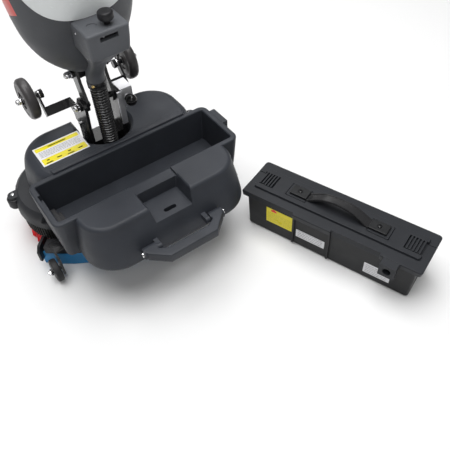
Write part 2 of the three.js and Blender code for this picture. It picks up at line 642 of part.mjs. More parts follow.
function addColumn() {
  // Tank with a cavity open at the top, cut away for the panel and the hose box.
  const shell = tankBody(0);
  const room = join(cut(tankBody(TANK_WALL, 400, TANK_TOP_Z + 5), windowBar(-TANK_WALL)),
    block(-50, 50, 200, 204, 600, 650));
  const foot = join(block(-31, 31, 126, 160, 330, 352), block(-25.5, 25.5, 129.5, 159, 330, 386),
    loft([{ z: 378, outline: roundedOutline(-22, 22, 129.5, 161, 4, 2) },
      { z: 425, outline: roundedOutline(-18, 18, 159, 197, 4, 2) }]),
    rod('z', 17.6, 398, 440, 0, SPINE_Y, 20));
  const rearSlot = block(-24, 24, 205, 214, 560, 700);
  const bands = [sideBand(-1, 0), sideBand(1, 0)];
  const tank = cut(shell, room, windowBar(0), manifoldBox(GAP), foot, ...bands, rearSlot);
  add('solution_tank', tank, tankPlastic);

  const tubRoom = cut(tankBody(5, 430, TANK_TOP_Z + 4).intersect(windowBar(5)),
    block(-120, 120, 103, 140, 400, 800));
  const tub = cut(tankBody(0.4).intersect(windowBar(GAP)), tubRoom);
  const spoutHole = rod('y', 20, 60, 110, 0, 668, 18);
  add('recovery_tank', cut(tub, spoutHole, manifoldBox(GAP)), panelPlastic);
  bothSides((name, side) => add(`accent_strip_${name}`, sideBand(side, GAP), accentPlastic));

  const cuff = rod('z', 17.5, 314, 336, 0, HOSE_Y, 24);
  const slot = block(-16, 16, HOSE_BOX_FRONT_Y - 10, HOSE_BOX_FRONT_Y + 16,
    HOSE_BOX_TOP_Z - 17, HOSE_BOX_TOP_Z - 8);
  const knobSeat = rod('z', 5.3, HOSE_BOX_TOP_Z - 16, HOSE_BOX_TOP_Z + 10, DRAIN.x, DRAIN.y, 14);
  const hoseBox = cut(join(manifoldBox(), cuff), slot, knobSeat,
    rod('z', 12.5, 300, 352, 0, HOSE_Y, 16));
  add('hose_manifold', hoseBox, tankPlastic);
  const cap = [[0, 8], [10, 8], [DRAIN.r, 11], [DRAIN.r, 18], [10, 22], [0, 22]];
  const knobCap = turned(cap.map(([r, h]) => [r, HOSE_BOX_TOP_Z + h]), DRAIN.x, DRAIN.y, 24);
  const knobStem = rod('z', 5, HOSE_BOX_TOP_Z - 15, HOSE_BOX_TOP_Z + 10, DRAIN.x, DRAIN.y, 14);
  const knob = join(knobStem, knobCap);
  add('drain_knob', knob, blackPlastic);

  // Steel yoke: two arms bolted through a foot that carries the column tube.
  const spine = join(block(-25, 25, 130, 158.5, 326, 385),
    rod('z', 17, 404, TANK_TOP_Z - 20, 0, SPINE_Y, 20),
    loft([{ z: 380, outline: roundedOutline(-20, 20, 132, 158, 4, 2) },
      { z: 424, outline: roundedOutline(-16, 16, 162, 194, 4, 2) }]));
  const profile = [[114, 262], [138, 262], [142, 290], [152, 318],
    [154, 346], [128, 346], [124, 320], [113, 290]];
  const arms = [-1, 1].map((side) => {
    const x = side * (ARM_X + 0.5);
    const arm = join(sidePlate(profile, x - 3, x + 3), rod('x', 13, x - 3, x + 3, TILT_Y, TILT_Z, 20));
    return cut(arm, rod('x', 6.4, x - 6, x + 6, TILT_Y, TILT_Z, 16));
  });
  const bolt = join(rod('x', 9, -38, 38, UPPER_BOLT.y, UPPER_BOLT.z, 6),
    rod('x', 6, -44, 44, UPPER_BOLT.y, UPPER_BOLT.z, 14));
  add('column_yoke', join(spine, ...arms, bolt), blackSteel);

  // Ribbed hose down into the neck well.
  const hose = cut(rod('z', HOSE_R, 118, 314 - GAP, 0, HOSE_Y, 20), rod('z', 13, 110, 320, 0, HOSE_Y, 16));
  add('recovery_hose', hose, hoseRubber);

  // Vacuum motor in the top of the tank.
  const vacuum = turned([[0, 630], [34, 630], [34, 690], [24, 700], [24, 720], [0, 720]], -56, 150, 20);
  add('vacuum_motor', vacuum, motorCase);
}

// Coloured band let into each side of the tank.
function sideBand(side, inset) {
  const outline = [[112 + inset, 506 + inset], [158 - inset, 486 + inset], [166 - inset, 728 - inset],
    [136 + inset, 728 - inset]];
  const bar = side < 0 ? sidePlate(outline, -130, -60) : sidePlate(outline, 60, 130);
  const skin = inset > 0 ? tankBody(0.2) : tankBody(-1);
  return cut(skin.intersect(bar), tankBody(3 - inset));
}

// ---- top cover and handle --------------------------------------------------------------
function addHandle() {
  const top = ovalOutline(100, 82, 0, 143, 2.25);
  const lid = loft([
    { z: TANK_TOP_Z + GAP, outline: top },
    { z: 760, outline: ovalOutline(96, 78, 0, 144, 2.25) },
    { z: 772, outline: ovalOutline(80, 64, 0, 147, 2.25) },
  ]);
  add('top_cover', cut(lid, rod('z', 19, 700, 800, 0, SPINE_Y, 20)), tankPlastic);

  const stem = cut(rod('z', 18.6, TANK_TOP_Z - 19.7, HANDLE_TOP_Z - 30, 0, SPINE_Y, 20),
    rod('z', 15.5, 700, 1000, 0, SPINE_Y, 16));
  add('handle_stem', stem, blackSteel);

  // Control pod with a sloped face, a screen and three buttons.
  const pod = loft([
    { z: HANDLE_TOP_Z - 29.7, outline: roundedOutline(-52, 52, 140, 206, 18, 4) },
    { z: HANDLE_TOP_Z, outline: roundedOutline(-60, 60, 128, 212, 22, 4) },
    { z: HANDLE_TOP_Z + 24, outline: roundedOutline(-58, 58, 130, 210, 20, 4) },
  ]);
  const screenSeat = block(-34, 34, 172, 202, HANDLE_TOP_Z + 21, HANDLE_TOP_Z + 30);
  const buttonSeats = [-24, 0, 24].map((x) =>
    rod('z', 8.4, HANDLE_TOP_Z + 12, HANDLE_TOP_Z + 30, x, 150, 20));
  const barBore = rod('x', 12.4, -80, 80, SPINE_Y, BAR_Z, 20);
  add('control_pod', cut(pod, screenSeat, ...buttonSeats, barBore), tankPlastic);
  const screen = block(-33.7, 33.7, 172.3, 201.7, HANDLE_TOP_Z + 21.3, HANDLE_TOP_Z + 23.4);
  add('display_screen', screen, blackPlastic);
  ['brush', 'water', 'suction'].forEach((name, i) => {
    const cap = rod('z', 8, HANDLE_TOP_Z + 15, HANDLE_TOP_Z + 26, 24 * (i - 1), 150, 20);
    add(`${name}_button`, cap, i === 0 ? accentPlastic : panelPlastic);
  });

  // Handlebar across the pod with a grip and a trigger on each end.
  const bar = rod('x', 12, -190, 190, SPINE_Y, BAR_Z, 20);
  bothSides((name, side) => {
    const sleeve = sideRod(side, 17, 84, 194, SPINE_Y, BAR_Z, 20);
    add(`grip_${name}`, cut(sleeve, sideRod(side, 12.3, 80, 191, SPINE_Y, BAR_Z, 20)), rubber);
  });
  const lever = join(block(70, 79, 140, 170, HANDLE_TOP_Z - 30, HANDLE_TOP_Z - 21),
    block(70, 150, 134, 143, HANDLE_TOP_Z - 31, HANDLE_TOP_Z - 21),
    rod('x', 6, 70, 79, 170, HANDLE_TOP_Z - 26, 16));
  add('drive_trigger', lever, accentPlastic);
  const clamp = join(rod('x', 16, 65, 83, SPINE_Y, BAR_Z, 20),
    block(79.4, 83, 164, 176, HANDLE_TOP_Z - 34, HANDLE_TOP_Z - 10),
    block(66, 69.6, 162, 178, HANDLE_TOP_Z - 34, HANDLE_TOP_Z - 10));
  add('handlebar', join(bar, clamp), blackSteel);
}

// ---- battery pack ----------------------------------------------------------------------
function addPack() {
  const pack = new THREE.Group();
  pack.position.set(PACK.x, PACK.y, 0);
  pack.rotation.z = THREE.MathUtils.degToRad(PACK.turn);
  const half = { x: CASE_LENGTH / 2, y: CASE_WIDTH / 2 };
  const fins = [];
  for (const x of [-74, 6]) {
    fins.push(block(x, x + 4, -half.y - 3, -half.y + 5, 6, CASE_TOP_Z));
  }
  for (const x of [-150, -88, -26, 36, 98, 156]) {
    fins.push(block(x, x + 4, half.y - 5, half.y + 3, 6, CASE_TOP_Z));
  }
  const walls = loft([
    { z: 0, outline: roundedOutline(-half.x + 5, half.x - 5, -half.y + 5, half.y - 5, 6, 3) },
    { z: 4, outline: roundedOutline(-half.x + 2, half.x - 2, -half.y + 2, half.y - 2, 6, 3) },
    { z: CASE_TOP_Z, outline: roundedOutline(-half.x, half.x, -half.y, half.y, 6, 3) },
  ]);
  const room = block(-half.x + 5, half.x - 5, -half.y + 5, half.y - 5, 5, CASE_TOP_Z + 5);
  const socketSeat = block(half.x - 3, half.x + 5, -16, 16, 18, 42);
  add('pack_case', cut(join(walls, ...fins), room, socketSeat), blackPlastic, pack);
  add('cell_block', block(-half.x + 10, half.x - 14, -half.y + 8, half.y - 8, 5.3, 78), motorCase, pack);

  // Lid: a flange with a raised band along it, seats for the strap pads and latch tracks.
  const lidHalf = { x: PACK_LENGTH / 2, y: PACK_WIDTH / 2 };
  const lidOutline = (inset, radius) => roundedOutline(
    -lidHalf.x + inset, lidHalf.x - inset, -lidHalf.y + inset, lidHalf.y - inset, radius, 3);
  const flange = loft([
    { z: CASE_TOP_Z + GAP, outline: lidOutline(2, 5) },
    { z: 96, outline: lidOutline(0, 6) },
    { z: 98, outline: lidOutline(1, 6) },
  ]);
  const band = loft([
    { z: 90, outline: roundedOutline(-lidHalf.x + 14, lidHalf.x - 14, -30, 34, 4, 2) },
    { z: PACK_TOP_Z, outline: roundedOutline(-lidHalf.x + 17, lidHalf.x - 17, -27, 31, 4, 2) },
  ]);
  const padSeats = [-1, 1].map((side) => sideBlock(side, 66, 112, -16, 20, PACK_TOP_Z - 2, PACK_TOP_Z + 5));
  const tracks = [-1, 1].map((side) => sideBlock(side, 142, 200, -16, 20, 96, PACK_TOP_Z + 5));
  const inside = block(-half.x + 8, half.x - 8, -half.y + 8, half.y - 8, 80, 92);
  const frontSteps = [block(-200, -74, -60, -47.5, 80, 110), block(10, 112, -60, -47.5, 80, 110)];
  const socket = cut(block(120, 152, -70, -50, 66, 97), rod('y', 8, -75, -58, 136, 82, 20),
    block(100, 160, -53.3, -40, 60, 88));
  const lid = join(cut(flange, ...frontSteps), band, socket);
  add('pack_lid', cut(lid, ...padSeats, ...tracks, inside), shellPlastic, pack);

  bothSides((name, side) => {
    const slider = [sideBlock(side, 144, 176, -15.4, 19.4, 96.3, 99)];
    for (let i = 0; i < LATCH_RIBS; i += 1) {
      const x = 145 + LATCH_RIB_PITCH * i;
      slider.push(sideBlock(side, x, x + 3.6, -15.4, 19.4, 98.5, 104));
    }
    add(`pack_latch_${name}`, join(...slider), shellPlastic, pack);
  });

  // Carrying strap, arched between the two pads.
  const top = PACK_TOP_Z - 2 + GAP;
  const arch = (z, run) => [[-108, z], [-74, z], [-60, z + run * 0.35], [-30, z + run],
    [30, z + run], [60, z + run * 0.35], [74, z], [108, z]];
  const under = arch(top, 20).reverse();
  const outline = [...arch(top + 4.6, 21), ...under].map(([x, z]) => new THREE.Vector2(x, z));
  const profile = new THREE.Shape(outline);
  const strap = new THREE.ExtrudeGeometry(profile, { depth: 24, bevelEnabled: false });
  const turn = new THREE.Matrix4().makeBasis(
    new THREE.Vector3(1, 0, 0), new THREE.Vector3(0, 0, 1), new THREE.Vector3(0, -1, 0));
  strap.applyMatrix4(turn).translate(0, 14, 0);
  add('pack_strap', solid(strap), rubber, pack);

  assembly.add(pack);
}

addHead();
addDeck();
addCarryHandle();
addSqueegee();
addNeck();
addColumn();
addHandle();
addPack();

// The origin is the middle of the footprint, on the floor.
assembly.updateMatrixWorld(true);
const extent = new THREE.Box3().setFromObject(assembly, true);
const middle = extent.getCenter(new THREE.Vector3());
assembly.position.set(-middle.x, -middle.y, -extent.min.z);

export default assembly;
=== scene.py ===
import json
import math
import random

import bmesh
import bpy
from mathutils import Matrix, Vector

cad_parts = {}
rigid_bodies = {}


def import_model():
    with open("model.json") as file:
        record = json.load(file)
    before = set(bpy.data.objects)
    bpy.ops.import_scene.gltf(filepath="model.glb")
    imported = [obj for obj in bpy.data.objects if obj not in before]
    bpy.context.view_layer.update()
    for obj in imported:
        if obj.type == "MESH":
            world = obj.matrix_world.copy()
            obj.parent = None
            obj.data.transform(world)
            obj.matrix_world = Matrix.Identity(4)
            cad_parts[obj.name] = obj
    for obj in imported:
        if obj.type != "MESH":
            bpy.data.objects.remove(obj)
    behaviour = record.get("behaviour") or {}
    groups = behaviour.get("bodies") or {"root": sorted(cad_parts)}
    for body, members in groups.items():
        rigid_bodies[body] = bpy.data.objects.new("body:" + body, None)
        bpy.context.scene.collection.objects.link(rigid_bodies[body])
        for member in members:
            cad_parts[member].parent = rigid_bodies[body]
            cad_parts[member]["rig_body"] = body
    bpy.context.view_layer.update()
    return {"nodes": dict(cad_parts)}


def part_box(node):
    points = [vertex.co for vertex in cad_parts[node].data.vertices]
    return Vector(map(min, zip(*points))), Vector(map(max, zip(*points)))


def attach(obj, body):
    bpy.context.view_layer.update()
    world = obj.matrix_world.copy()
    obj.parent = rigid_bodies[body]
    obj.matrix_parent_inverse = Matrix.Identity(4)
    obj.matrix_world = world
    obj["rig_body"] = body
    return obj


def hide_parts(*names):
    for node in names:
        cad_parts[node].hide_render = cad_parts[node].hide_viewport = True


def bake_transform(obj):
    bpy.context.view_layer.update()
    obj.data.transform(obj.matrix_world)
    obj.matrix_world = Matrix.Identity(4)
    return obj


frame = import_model()
nodes = frame["nodes"]

# ---- Camera and studio ----
# The machine stands on a plain pale floor under one large overhead softbox, with a weaker
# one behind, one in front and a pale surround. Places are in millimetres from the middle of
# the battery bay, on the floor; the two brushes, 132 mm ahead of it, say where that is.
BRUSH_ROW = 132
brush_boxes = [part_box("bristles_left"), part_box("bristles_right")]
brush_middle = sum((low + high for low, high in brush_boxes), Vector()) / 4
bay_middle = Vector((brush_middle.x, brush_middle.y - BRUSH_ROW / 1000, 0))


def spot(x, y, z):
    return bay_middle + Vector((x, y, z)) / 1000


turn, rise, roll = (math.radians(a) for a in (-32.91, 49.65, -3.15))
back = Vector((math.sin(turn) * math.cos(rise), -math.cos(turn) * math.cos(rise), math.sin(rise)))
right = Vector((math.cos(turn), math.sin(turn), 0))
up = back.cross(right)
tilted_right = math.cos(roll) * right + math.sin(roll) * up
tilted_up = math.cos(roll) * up - math.sin(roll) * right

camera = bpy.data.objects.new("camera", bpy.data.cameras.new("camera"))
camera.data.sensor_width = 36
camera.data.lens = 45.02
camera.matrix_world = Matrix.Translation(spot(-297.6, -761.5, 938.1)) @ Matrix(
    (tilted_right, tilted_up, back)).transposed().to_4x4()
bpy.context.scene.collection.objects.link(camera)
bpy.context.scene.camera = camera


def softbox(name, place, aim, width, power):
    lamp = bpy.data.objects.new(name, bpy.data.lights.new(name, "AREA"))
    lamp.data.shape = "DISK"
    lamp.data.size = width
    lamp.data.energy = power
    lamp.location = spot(*place)
    lamp.rotation_mode = "QUATERNION"
    lamp.rotation_quaternion = (spot(*place) - spot(*aim)).to_track_quat("Z", "Y")
    bpy.context.scene.collection.objects.link(lamp)


softbox("overhead softbox", (0, 150, 2600), (60, -40, 100), 2.6, 96)
softbox("far softbox", (760, 1750, 2050), (0, 0, 150), 1.5, 12)
softbox("front softbox", (-700, -1900, 1900), (0, 0, 150), 1.4, 11)

world = bpy.data.worlds.new("studio")
world.use_nodes = True
world.node_tree.nodes["Background"].inputs["Color"].default_value = (1, 1, 1, 1)
world.node_tree.nodes["Background"].inputs["Strength"].default_value = 0.24
bpy.context.scene.world = world
bpy.context.scene.view_settings.view_transform = "Standard"

floor_mesh = bpy.data.meshes.new("studio_floor")
FLOOR_HALF, FLOOR_DROP = 9, 0.0004
floor_mesh.from_pydata([(x * FLOOR_HALF, y * FLOOR_HALF, -FLOOR_DROP)
                        for x, y in ((-1, -1), (1, -1), (1, 1), (-1, 1))], [], [(0, 1, 2, 3)])
studio_floor = bpy.data.objects.new("studio_floor", floor_mesh)
bpy.context.scene.collection.objects.link(studio_floor)
floor_paint = bpy.data.materials.new("floor_paint")
floor_paint.use_nodes = True
matt = floor_paint.node_tree.nodes["Principled BSDF"]
matt.inputs["Base Color"].default_value = (0.74, 0.74, 0.74, 1)
matt.inputs["Roughness"].default_value = 0.9
floor_mesh.materials.append(floor_paint)

# ---- Head cover ----
# One injection moulding in charcoal plastic with a fine spark-eroded grain: a long box
# for the battery pack, a low two-lobed hump over the brush motors, and a bulge with a
# notch on the operator's side. It drops over the brush deck and is screwed from below.
def moulded(name, colour, roughness, grain=0.35, grain_size=0.7, drift=0.10, specular=0.3):
    """Moulded plastic: fine grain, cloudy shade, faint scuffs and a paler rubbed bloom."""
    material = bpy.data.materials.new(name)
    material.use_nodes = True
    tree = material.node_tree
    shader = tree.nodes["Principled BSDF"]
    shader.inputs["Specular IOR Level"].default_value = specular
    place = tree.nodes.new("ShaderNodeTexCoord")

    def noise(scale, detail, stretch=(1, 1, 1)):
        mapping = tree.nodes.new("ShaderNodeMapping")
        mapping.inputs["Scale"].default_value = stretch
        cloud = tree.nodes.new("ShaderNodeTexNoise")
        cloud.inputs["Scale"].default_value = scale
        cloud.inputs["Detail"].default_value = detail
        tree.links.new(place.outputs["Object"], mapping.inputs["Vector"])
        tree.links.new(mapping.outputs["Vector"], cloud.inputs["Vector"])
        return cloud.outputs["Fac"]

    def between(value, low, high, to_low, to_high):
        span = tree.nodes.new("ShaderNodeMapRange")
        for key, number in (("From Min", low), ("From Max", high), ("To Min", to_low), ("To Max", to_high)):
            span.inputs[key].default_value = number
        tree.links.new(value, span.inputs["Value"])
        return span.outputs["Result"]

    def blended(factor, first, second):
        mix = tree.nodes.new("ShaderNodeMix")
        mix.data_type = "RGBA"
        tree.links.new(factor, mix.inputs["Factor"])
        for key, tint in (("A", first), ("B", second)):
            if isinstance(tint, tuple):
                mix.inputs[key].default_value = tint
            else:
                tree.links.new(tint, mix.inputs[key])
        return mix.outputs["Result"]

    deep = tuple(c * (1 - drift) for c in colour) + (1,)
    pale = tuple(c * (1 + drift) for c in colour) + (1,)
    rubbed = tuple(c * 1.5 + 0.012 for c in colour) + (1,)
    clouds = blended(between(noise(14, 3), 0.35, 0.65, 0, 1), deep, pale)
    scuffs = between(noise(60, 6, (1, 6, 1.6)), 0.66, 0.8, 0, 0.35)
    tree.links.new(blended(scuffs, clouds, rubbed), shader.inputs["Base Color"])
    tree.links.new(between(noise(34, 4), 0.3, 0.7, roughness - 0.06, roughness + 0.06),
                   shader.inputs["Roughness"])
    bump = tree.nodes.new("ShaderNodeBump")
    bump.inputs["Strength"].default_value = grain
    bump.inputs["Distance"].default_value = 0.0002
    tree.links.new(noise(1000 / grain_size, 2), bump.inputs["Height"])
    tree.links.new(bump.outputs["Normal"], shader.inputs["Normal"])
    return material


charcoal_shell = moulded("charcoal_shell", (0.025, 0.028, 0.035), 0.5, grain=0.5)


def rounded(x0, x1, y0, y1, radius, steps=10):
    """Rounded rectangle in plan, counter-clockwise, with the same number of points at any size."""
    corners = ((x1 - radius, y1 - radius, 0), (x0 + radius, y1 - radius, 90),
               (x0 + radius, y0 + radius, 180), (x1 - radius, y0 + radius, 270))
    outline = []
    for cx, cy, start in corners:
        for i in range(steps + 1):
            a = math.radians(start + 90 * i / steps)
            outline.append((cx + radius * math.cos(a), cy + radius * math.sin(a)))
    return outline


def flowing(levels, between=5):
    """More levels on a smooth curve through the given ones."""
    rows = []
    for i in range(len(levels) - 1):
        before, here = levels[max(i - 1, 0)], levels[i]
        there, after = levels[i + 1], levels[min(i + 2, len(levels) - 1)]
        for k in range(between):
            t = k / between
            rows.append(tuple(
                0.5 * (2 * b + (c - a) * t + (2 * a - 5 * b + 4 * c - d) * t * t
                       + (3 * b - a - 3 * c + d) * t ** 3)
                for a, b, c, d in zip(before, here, there, after)))
    rows.append(tuple(levels[-1]))
    return rows


def sketch(mesh_maker):
    """A new object whose mesh is drawn in millimetres by mesh_maker."""
    drawing = bmesh.new()
    mesh_maker(drawing)
    bmesh.ops.recalc_face_normals(drawing, faces=drawing.faces)
    mesh = bpy.data.meshes.new("shape")
    drawing.to_mesh(mesh)
    drawing.free()
    thing = bpy.data.objects.new("shape", mesh)
    bpy.context.scene.collection.objects.link(thing)
    return thing


def skin(drawing, rings):
    """Faces from each ring of points to the next, closed at both ends."""
    faces = []
    for low, high in zip(rings, rings[1:]):
        for i in range(len(low)):
            j = (i + 1) % len(low)
            faces.append(drawing.faces.new((low[i], low[j], high[j], high[i])))
    return faces + [drawing.faces.new(rings[0][::-1]), drawing.faces.new(rings[-1])]


def stacked(levels):
    """Closed skin through outlines at rising heights: levels lists (z, outline)."""
    return sketch(lambda drawing: skin(drawing, [
        [drawing.verts.new((x, y, z)) for x, y in outline] for z, outline in levels]))


def brick(x0, x1, y0, y1, z0, z1):
    corners = [(x0, y0), (x1, y0), (x1, y1), (x0, y1)]
    return stacked([(z0, corners), (z1, corners)])


def turned(profile, place=(0, 0, 0), axis=(0, 0, 1), sides=40, weld=0.0):
    """Turned body: profile lists (radius, height) from one end to the other along the axis."""
    stand = Vector(axis).to_track_quat("Z", "Y").to_matrix().to_4x4()
    stand = Matrix.Translation(place) @ stand

    def draw(drawing):
        rings = []
        for radius, height in profile:
            if radius == 0:
                rings.append([drawing.verts.new(stand @ Vector((0, 0, height)))])
                continue
            rings.append([drawing.verts.new(stand @ Vector((
                radius * math.cos(2 * math.pi * i / sides),
                radius * math.sin(2 * math.pi * i / sides), height)))
                for i in range(sides)])
        if len(rings[0]) > 1 and profile[0] == profile[-1]:
            for vert in rings.pop():
                drawing.verts.remove(vert)
            rings.append(rings[0])
        for low, high in zip(rings, rings[1:]):
            for i in range(sides):
                j = (i + 1) % sides
                corners = ([low[0]] if len(low) == 1 else [low[i], low[j]]) + (
                    [high[0]] if len(high) == 1 else [high[j], high[i]])
                drawing.faces.new(corners)
        if rings[0] is not rings[-1]:
            for ring in (rings[0], rings[-1]):
                if len(ring) > 1:
                    drawing.faces.new(ring)
        if weld:
            bmesh.ops.remove_doubles(drawing, verts=drawing.verts, dist=weld)
    return sketch(draw)


def carve(base, joins=(), meets=(), cuts=()):
    """Joins shapes to base, keeps what meets others and cuts others away; the tools go."""
    for kind, tools in (("UNION", joins), ("INTERSECT", meets), ("DIFFERENCE", cuts)):
        for tool in tools:
            step = base.modifiers.new(kind, "BOOLEAN")
            step.operation = kind
            step.object = tool
    settle(base)
    for tool in (*joins, *meets, *cuts):
        bpy.data.meshes.remove(tool.data)
    return base


def settle(thing):
    """Works out a piece's modifiers into its plain mesh."""
    seen = bpy.context.evaluated_depsgraph_get()
    mesh = bpy.data.meshes.new_from_object(thing.evaluated_get(seen))
    thing.modifiers.clear()
    thing.data = mesh


def shade(thing, sharp=32):
    """Smooth faces with crisp edges where the surface turns by more than the angle."""
    drawing = bmesh.new()
    drawing.from_mesh(thing.data)
    for face in drawing.faces:
        face.smooth = True
    for edge in drawing.edges:
        edge.smooth = edge.calc_face_angle(0) < math.radians(sharp)
    drawing.to_mesh(thing.data)
    drawing.free()
    even = thing.modifiers.new("even normals", "WEIGHTED_NORMAL")
    even.keep_sharp = True
    settle(thing)


def fit(thing, name, material, body, slot, *cad_nodes, sharp=32):
    """Sets a finished piece in its place on the machine and hands it to its body."""
    thing.name = name
    thing.data.name = name
    thing.data.transform(Matrix.Translation(bay_middle) @ Matrix.Diagonal((0.001, 0.001, 0.001, 1)))
    if not any(thing.data.materials):
        thing.data.materials.clear()
        thing.data.materials.append(material)
    shade(thing, sharp)
    if body:
        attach(thing, body)
    if cad_nodes:
        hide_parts(*cad_nodes)
    return thing


# The bulge's outline runs from its top edge (share 0) out to its belly (share 1).
def bulge_row(z, share, inset):
    half = 160 + 10 * share - inset
    front = -124 - 28 * share + inset
    return z, rounded(-half, half, front, 0, 52 + 14 * share - inset, 14)


def edge_row(rows, top, radius, steps=6):
    """Adds a rounded top edge: quarter circle of insets up to the top height."""
    z, *rest, inset = rows[-1]
    for i in range(1, steps + 1):
        a = math.radians(90 * i / steps)
        rows.append((top - radius + radius * math.sin(a), *rest, inset + radius * (1 - math.cos(a))))
    return rows


bulge_levels = flowing([(106, 0.75, 4), (114, 1, 0), (130, 0.92, 0), (160, 0.55, 0), (191, 0.08, 0)])
bulge = stacked([bulge_row(*row) for row in edge_row(bulge_levels, 200, 9)])


def bay_row(z, inset, radius):
    return z, rounded(-199 + inset, 199 - inset, -65 + inset, 65 - inset, radius, 8)


bay_rows = [(101, 12, 10), (106, 8, 12), (150, 4, 14), (196.5, 0.4, 16)]
bay_rows += [(196.5 + 3.5 * math.sin(a), 0.4 + 3 * (1 - math.cos(a)), 16)
             for a in (math.radians(15 * k) for k in range(1, 7))]
bay_box = stacked([bay_row(*row) for row in bay_rows])

hump_levels = flowing([(112, 12, 212), (150, 9, 208), (180, 3, 202), (193, -4, 195), (200, -16, 184)])
hump = stacked([
    (z, rounded(-170 - grow, 170 + grow, 40, far, 62 + grow / 2, 16)) for z, grow, far in hump_levels])

raised_edge = stacked([
    (z, rounded(-146 + inset, 150 - inset, 61 + inset, 75 - inset, 5 - inset * 0.6, 5))
    for z, inset in ((196, 0), (202, 0), (203.4, 0.6), (204.2, 1.6), (204.5, 3))])

bay_hole = stacked([
    (z, rounded(-186 - grow, 186 + grow, -53 - grow, 53 + grow, 4 + max(grow, 0), 4))
    for z, grow in ((126, -3), (128, -3), (197, -0.1), (198.2, 0.3), (199.2, 1.0), (200, 2.2), (206, 9))])

notch_hole = stacked([
    (z, rounded(-39 - grow, 39 + grow, -180, -78 + grow * 0.6, 4, 4))
    for z, grow in ((170, 0), (197, 4.4), (198.6, 5.4), (200, 7.2), (206, 16))])
low_strip = brick(-44, 44, -85, -50, 195, 206)
key_slot = stacked([(z, rounded(-13, 13, -123, -114, 4.4, 4)) for z in (158, 175)])


WELL_Y = 136


def well_plan(radius, sides=64):
    return [(radius * math.cos(2 * math.pi * i / sides),
             WELL_Y + radius * math.sin(2 * math.pi * i / sides)) for i in range(sides)]


well = stacked([(z, well_plan(54 + grow)) for z, grow in (
    (116, 0), (186, 0), (190, 0.6), (194, 2), (197, 4), (200, 7.5), (206, 18))])
well_mouth = stacked([
    (z, rounded(-42 - grow, 42 + grow, WELL_Y, 240, 6 + grow / 2, 6)) for z, grow in (
        (116, 0), (150, 0), (172, 1), (183, 2.5), (190, 4.5), (194, 6.5), (197, 9), (199, 11.5),
        (200.2, 14), (206, 26))])

motor_room = stacked([
    (z, rounded(-165 - grow, 165 + grow, 71, far - 5, 57 + grow / 2, 8)) for z, grow, far in (
        (111, 12, 212), (150, 9, 208), (176, 3, 202), (195, -12, 188))])
neck_wall = stacked([(z, well_plan(58)) for z in (100, 210)])
motor_room = carve(motor_room, cuts=(neck_wall, brick(-58, 58, WELL_Y, 240, 99, 211)))
under_rooms = [brick(side - 38, side + 38, -112, -70, 100, 188) for side in (-90, 90)]
under_rooms += [brick(-52.5, 52.5, -118, -71, 99, 154), brick(-176, 176, -46, 46, 98, 121)]
latch_pocket = brick(-192, -184, -16, 27, 188, 206)
drain_hole = turned([(4, 0), (4, 16)], (168, -30, 116), sides=20)
HOSE_Y = 112
hose_hole = turned([(14, 0), (14, 30)], (0, HOSE_Y, 96), sides=32)

clip = brick(196, 211, -6, 42, 180, 197)
clip_foot = brick(196, 207, -2, 38, 168, 180.5)
clip_slots = [brick(204, 212, y, y + 5, 186, 192) for y in (4, 14, 24)]
LUG_Y, LUG_Z = -160.5, 139
lugs = [turned([(7, 0), (7, 8.6)], (x, LUG_Y, LUG_Z), (1, 0, 0), 28) for x in (-56.6, 48)]
lugs += [brick(x, x + 8.6, LUG_Y, -136, LUG_Z - 6, LUG_Z + 6) for x in (-56.6, 48)]

head_shell = carve(
    bulge, joins=(bay_box, hump, raised_edge, clip, clip_foot, *lugs),
    cuts=(bay_hole, notch_hole, low_strip, key_slot, well, well_mouth, motor_room, *under_rooms,
          latch_pocket, drain_hole, hose_hole, *clip_slots))
fit(head_shell, "head_shell", charcoal_shell, "head", "cover_plastic", "head_cover")

# Care label on the left lobe of the hump: a printed film with two yellow bands and rows
# of short rules where the small print goes, stuck down flat.
def film(name, colour):
    return moulded(name, colour, 0.32, grain=0.06, grain_size=3, drift=0.03)


label_white = film("label_white", (0.66, 0.66, 0.68))
label_yellow = film("label_yellow", (0.72, 0.62, 0.03))
label_ink = film("label_ink", (0.09, 0.09, 0.08))
label_red = film("label_red", (0.72, 0.03, 0.03))
label_ochre = film("label_ochre", (0.40, 0.33, 0.03))


def sticker(name, corner, across, along, patches, body):
    """Thin film with printed patches: each is (material, x0, x1, y0, y1) on the film."""
    corner, across, along = Vector(corner), Vector(across).normalized(), Vector(along).normalized()
    out = across.cross(along)
    inks = []

    def draw(drawing):
        sheets = [(patches[0], 0.0, 0.25)]
        sheets += [(p, 0.2, 0.25 + 0.03 * (1 + k % 2)) for k, p in enumerate(patches[1:])]
        for (ink, x0, x1, y0, y1), low, high in sheets:
            if ink not in inks:
                inks.append(ink)
            corners = [(x0, y0), (x1, y0), (x1, y1), (x0, y1)]
            rings = [[drawing.verts.new(corner + across * x + along * y + out * h) for x, y in corners]
                     for h in (low, high)]
            for face in skin(drawing, rings):
                face.material_index = inks.index(ink)
    thing = sketch(draw)
    for ink in inks:
        thing.data.materials.append(ink)
    return fit(thing, name, inks[0], body, "cover_plastic" if body == "head" else "black_plastic")


def small_print(rng, x0, x1, rows, height, ink):
    """Rows of short dashes standing for lines of text."""
    dashes = []
    for y in rows:
        x = x0
        while x < x1 - 2:
            end = min(x + rng.uniform(2.5, 9), x1)
            dashes.append((ink, x, end, y, y + height))
            x = end + 1.1
    return dashes


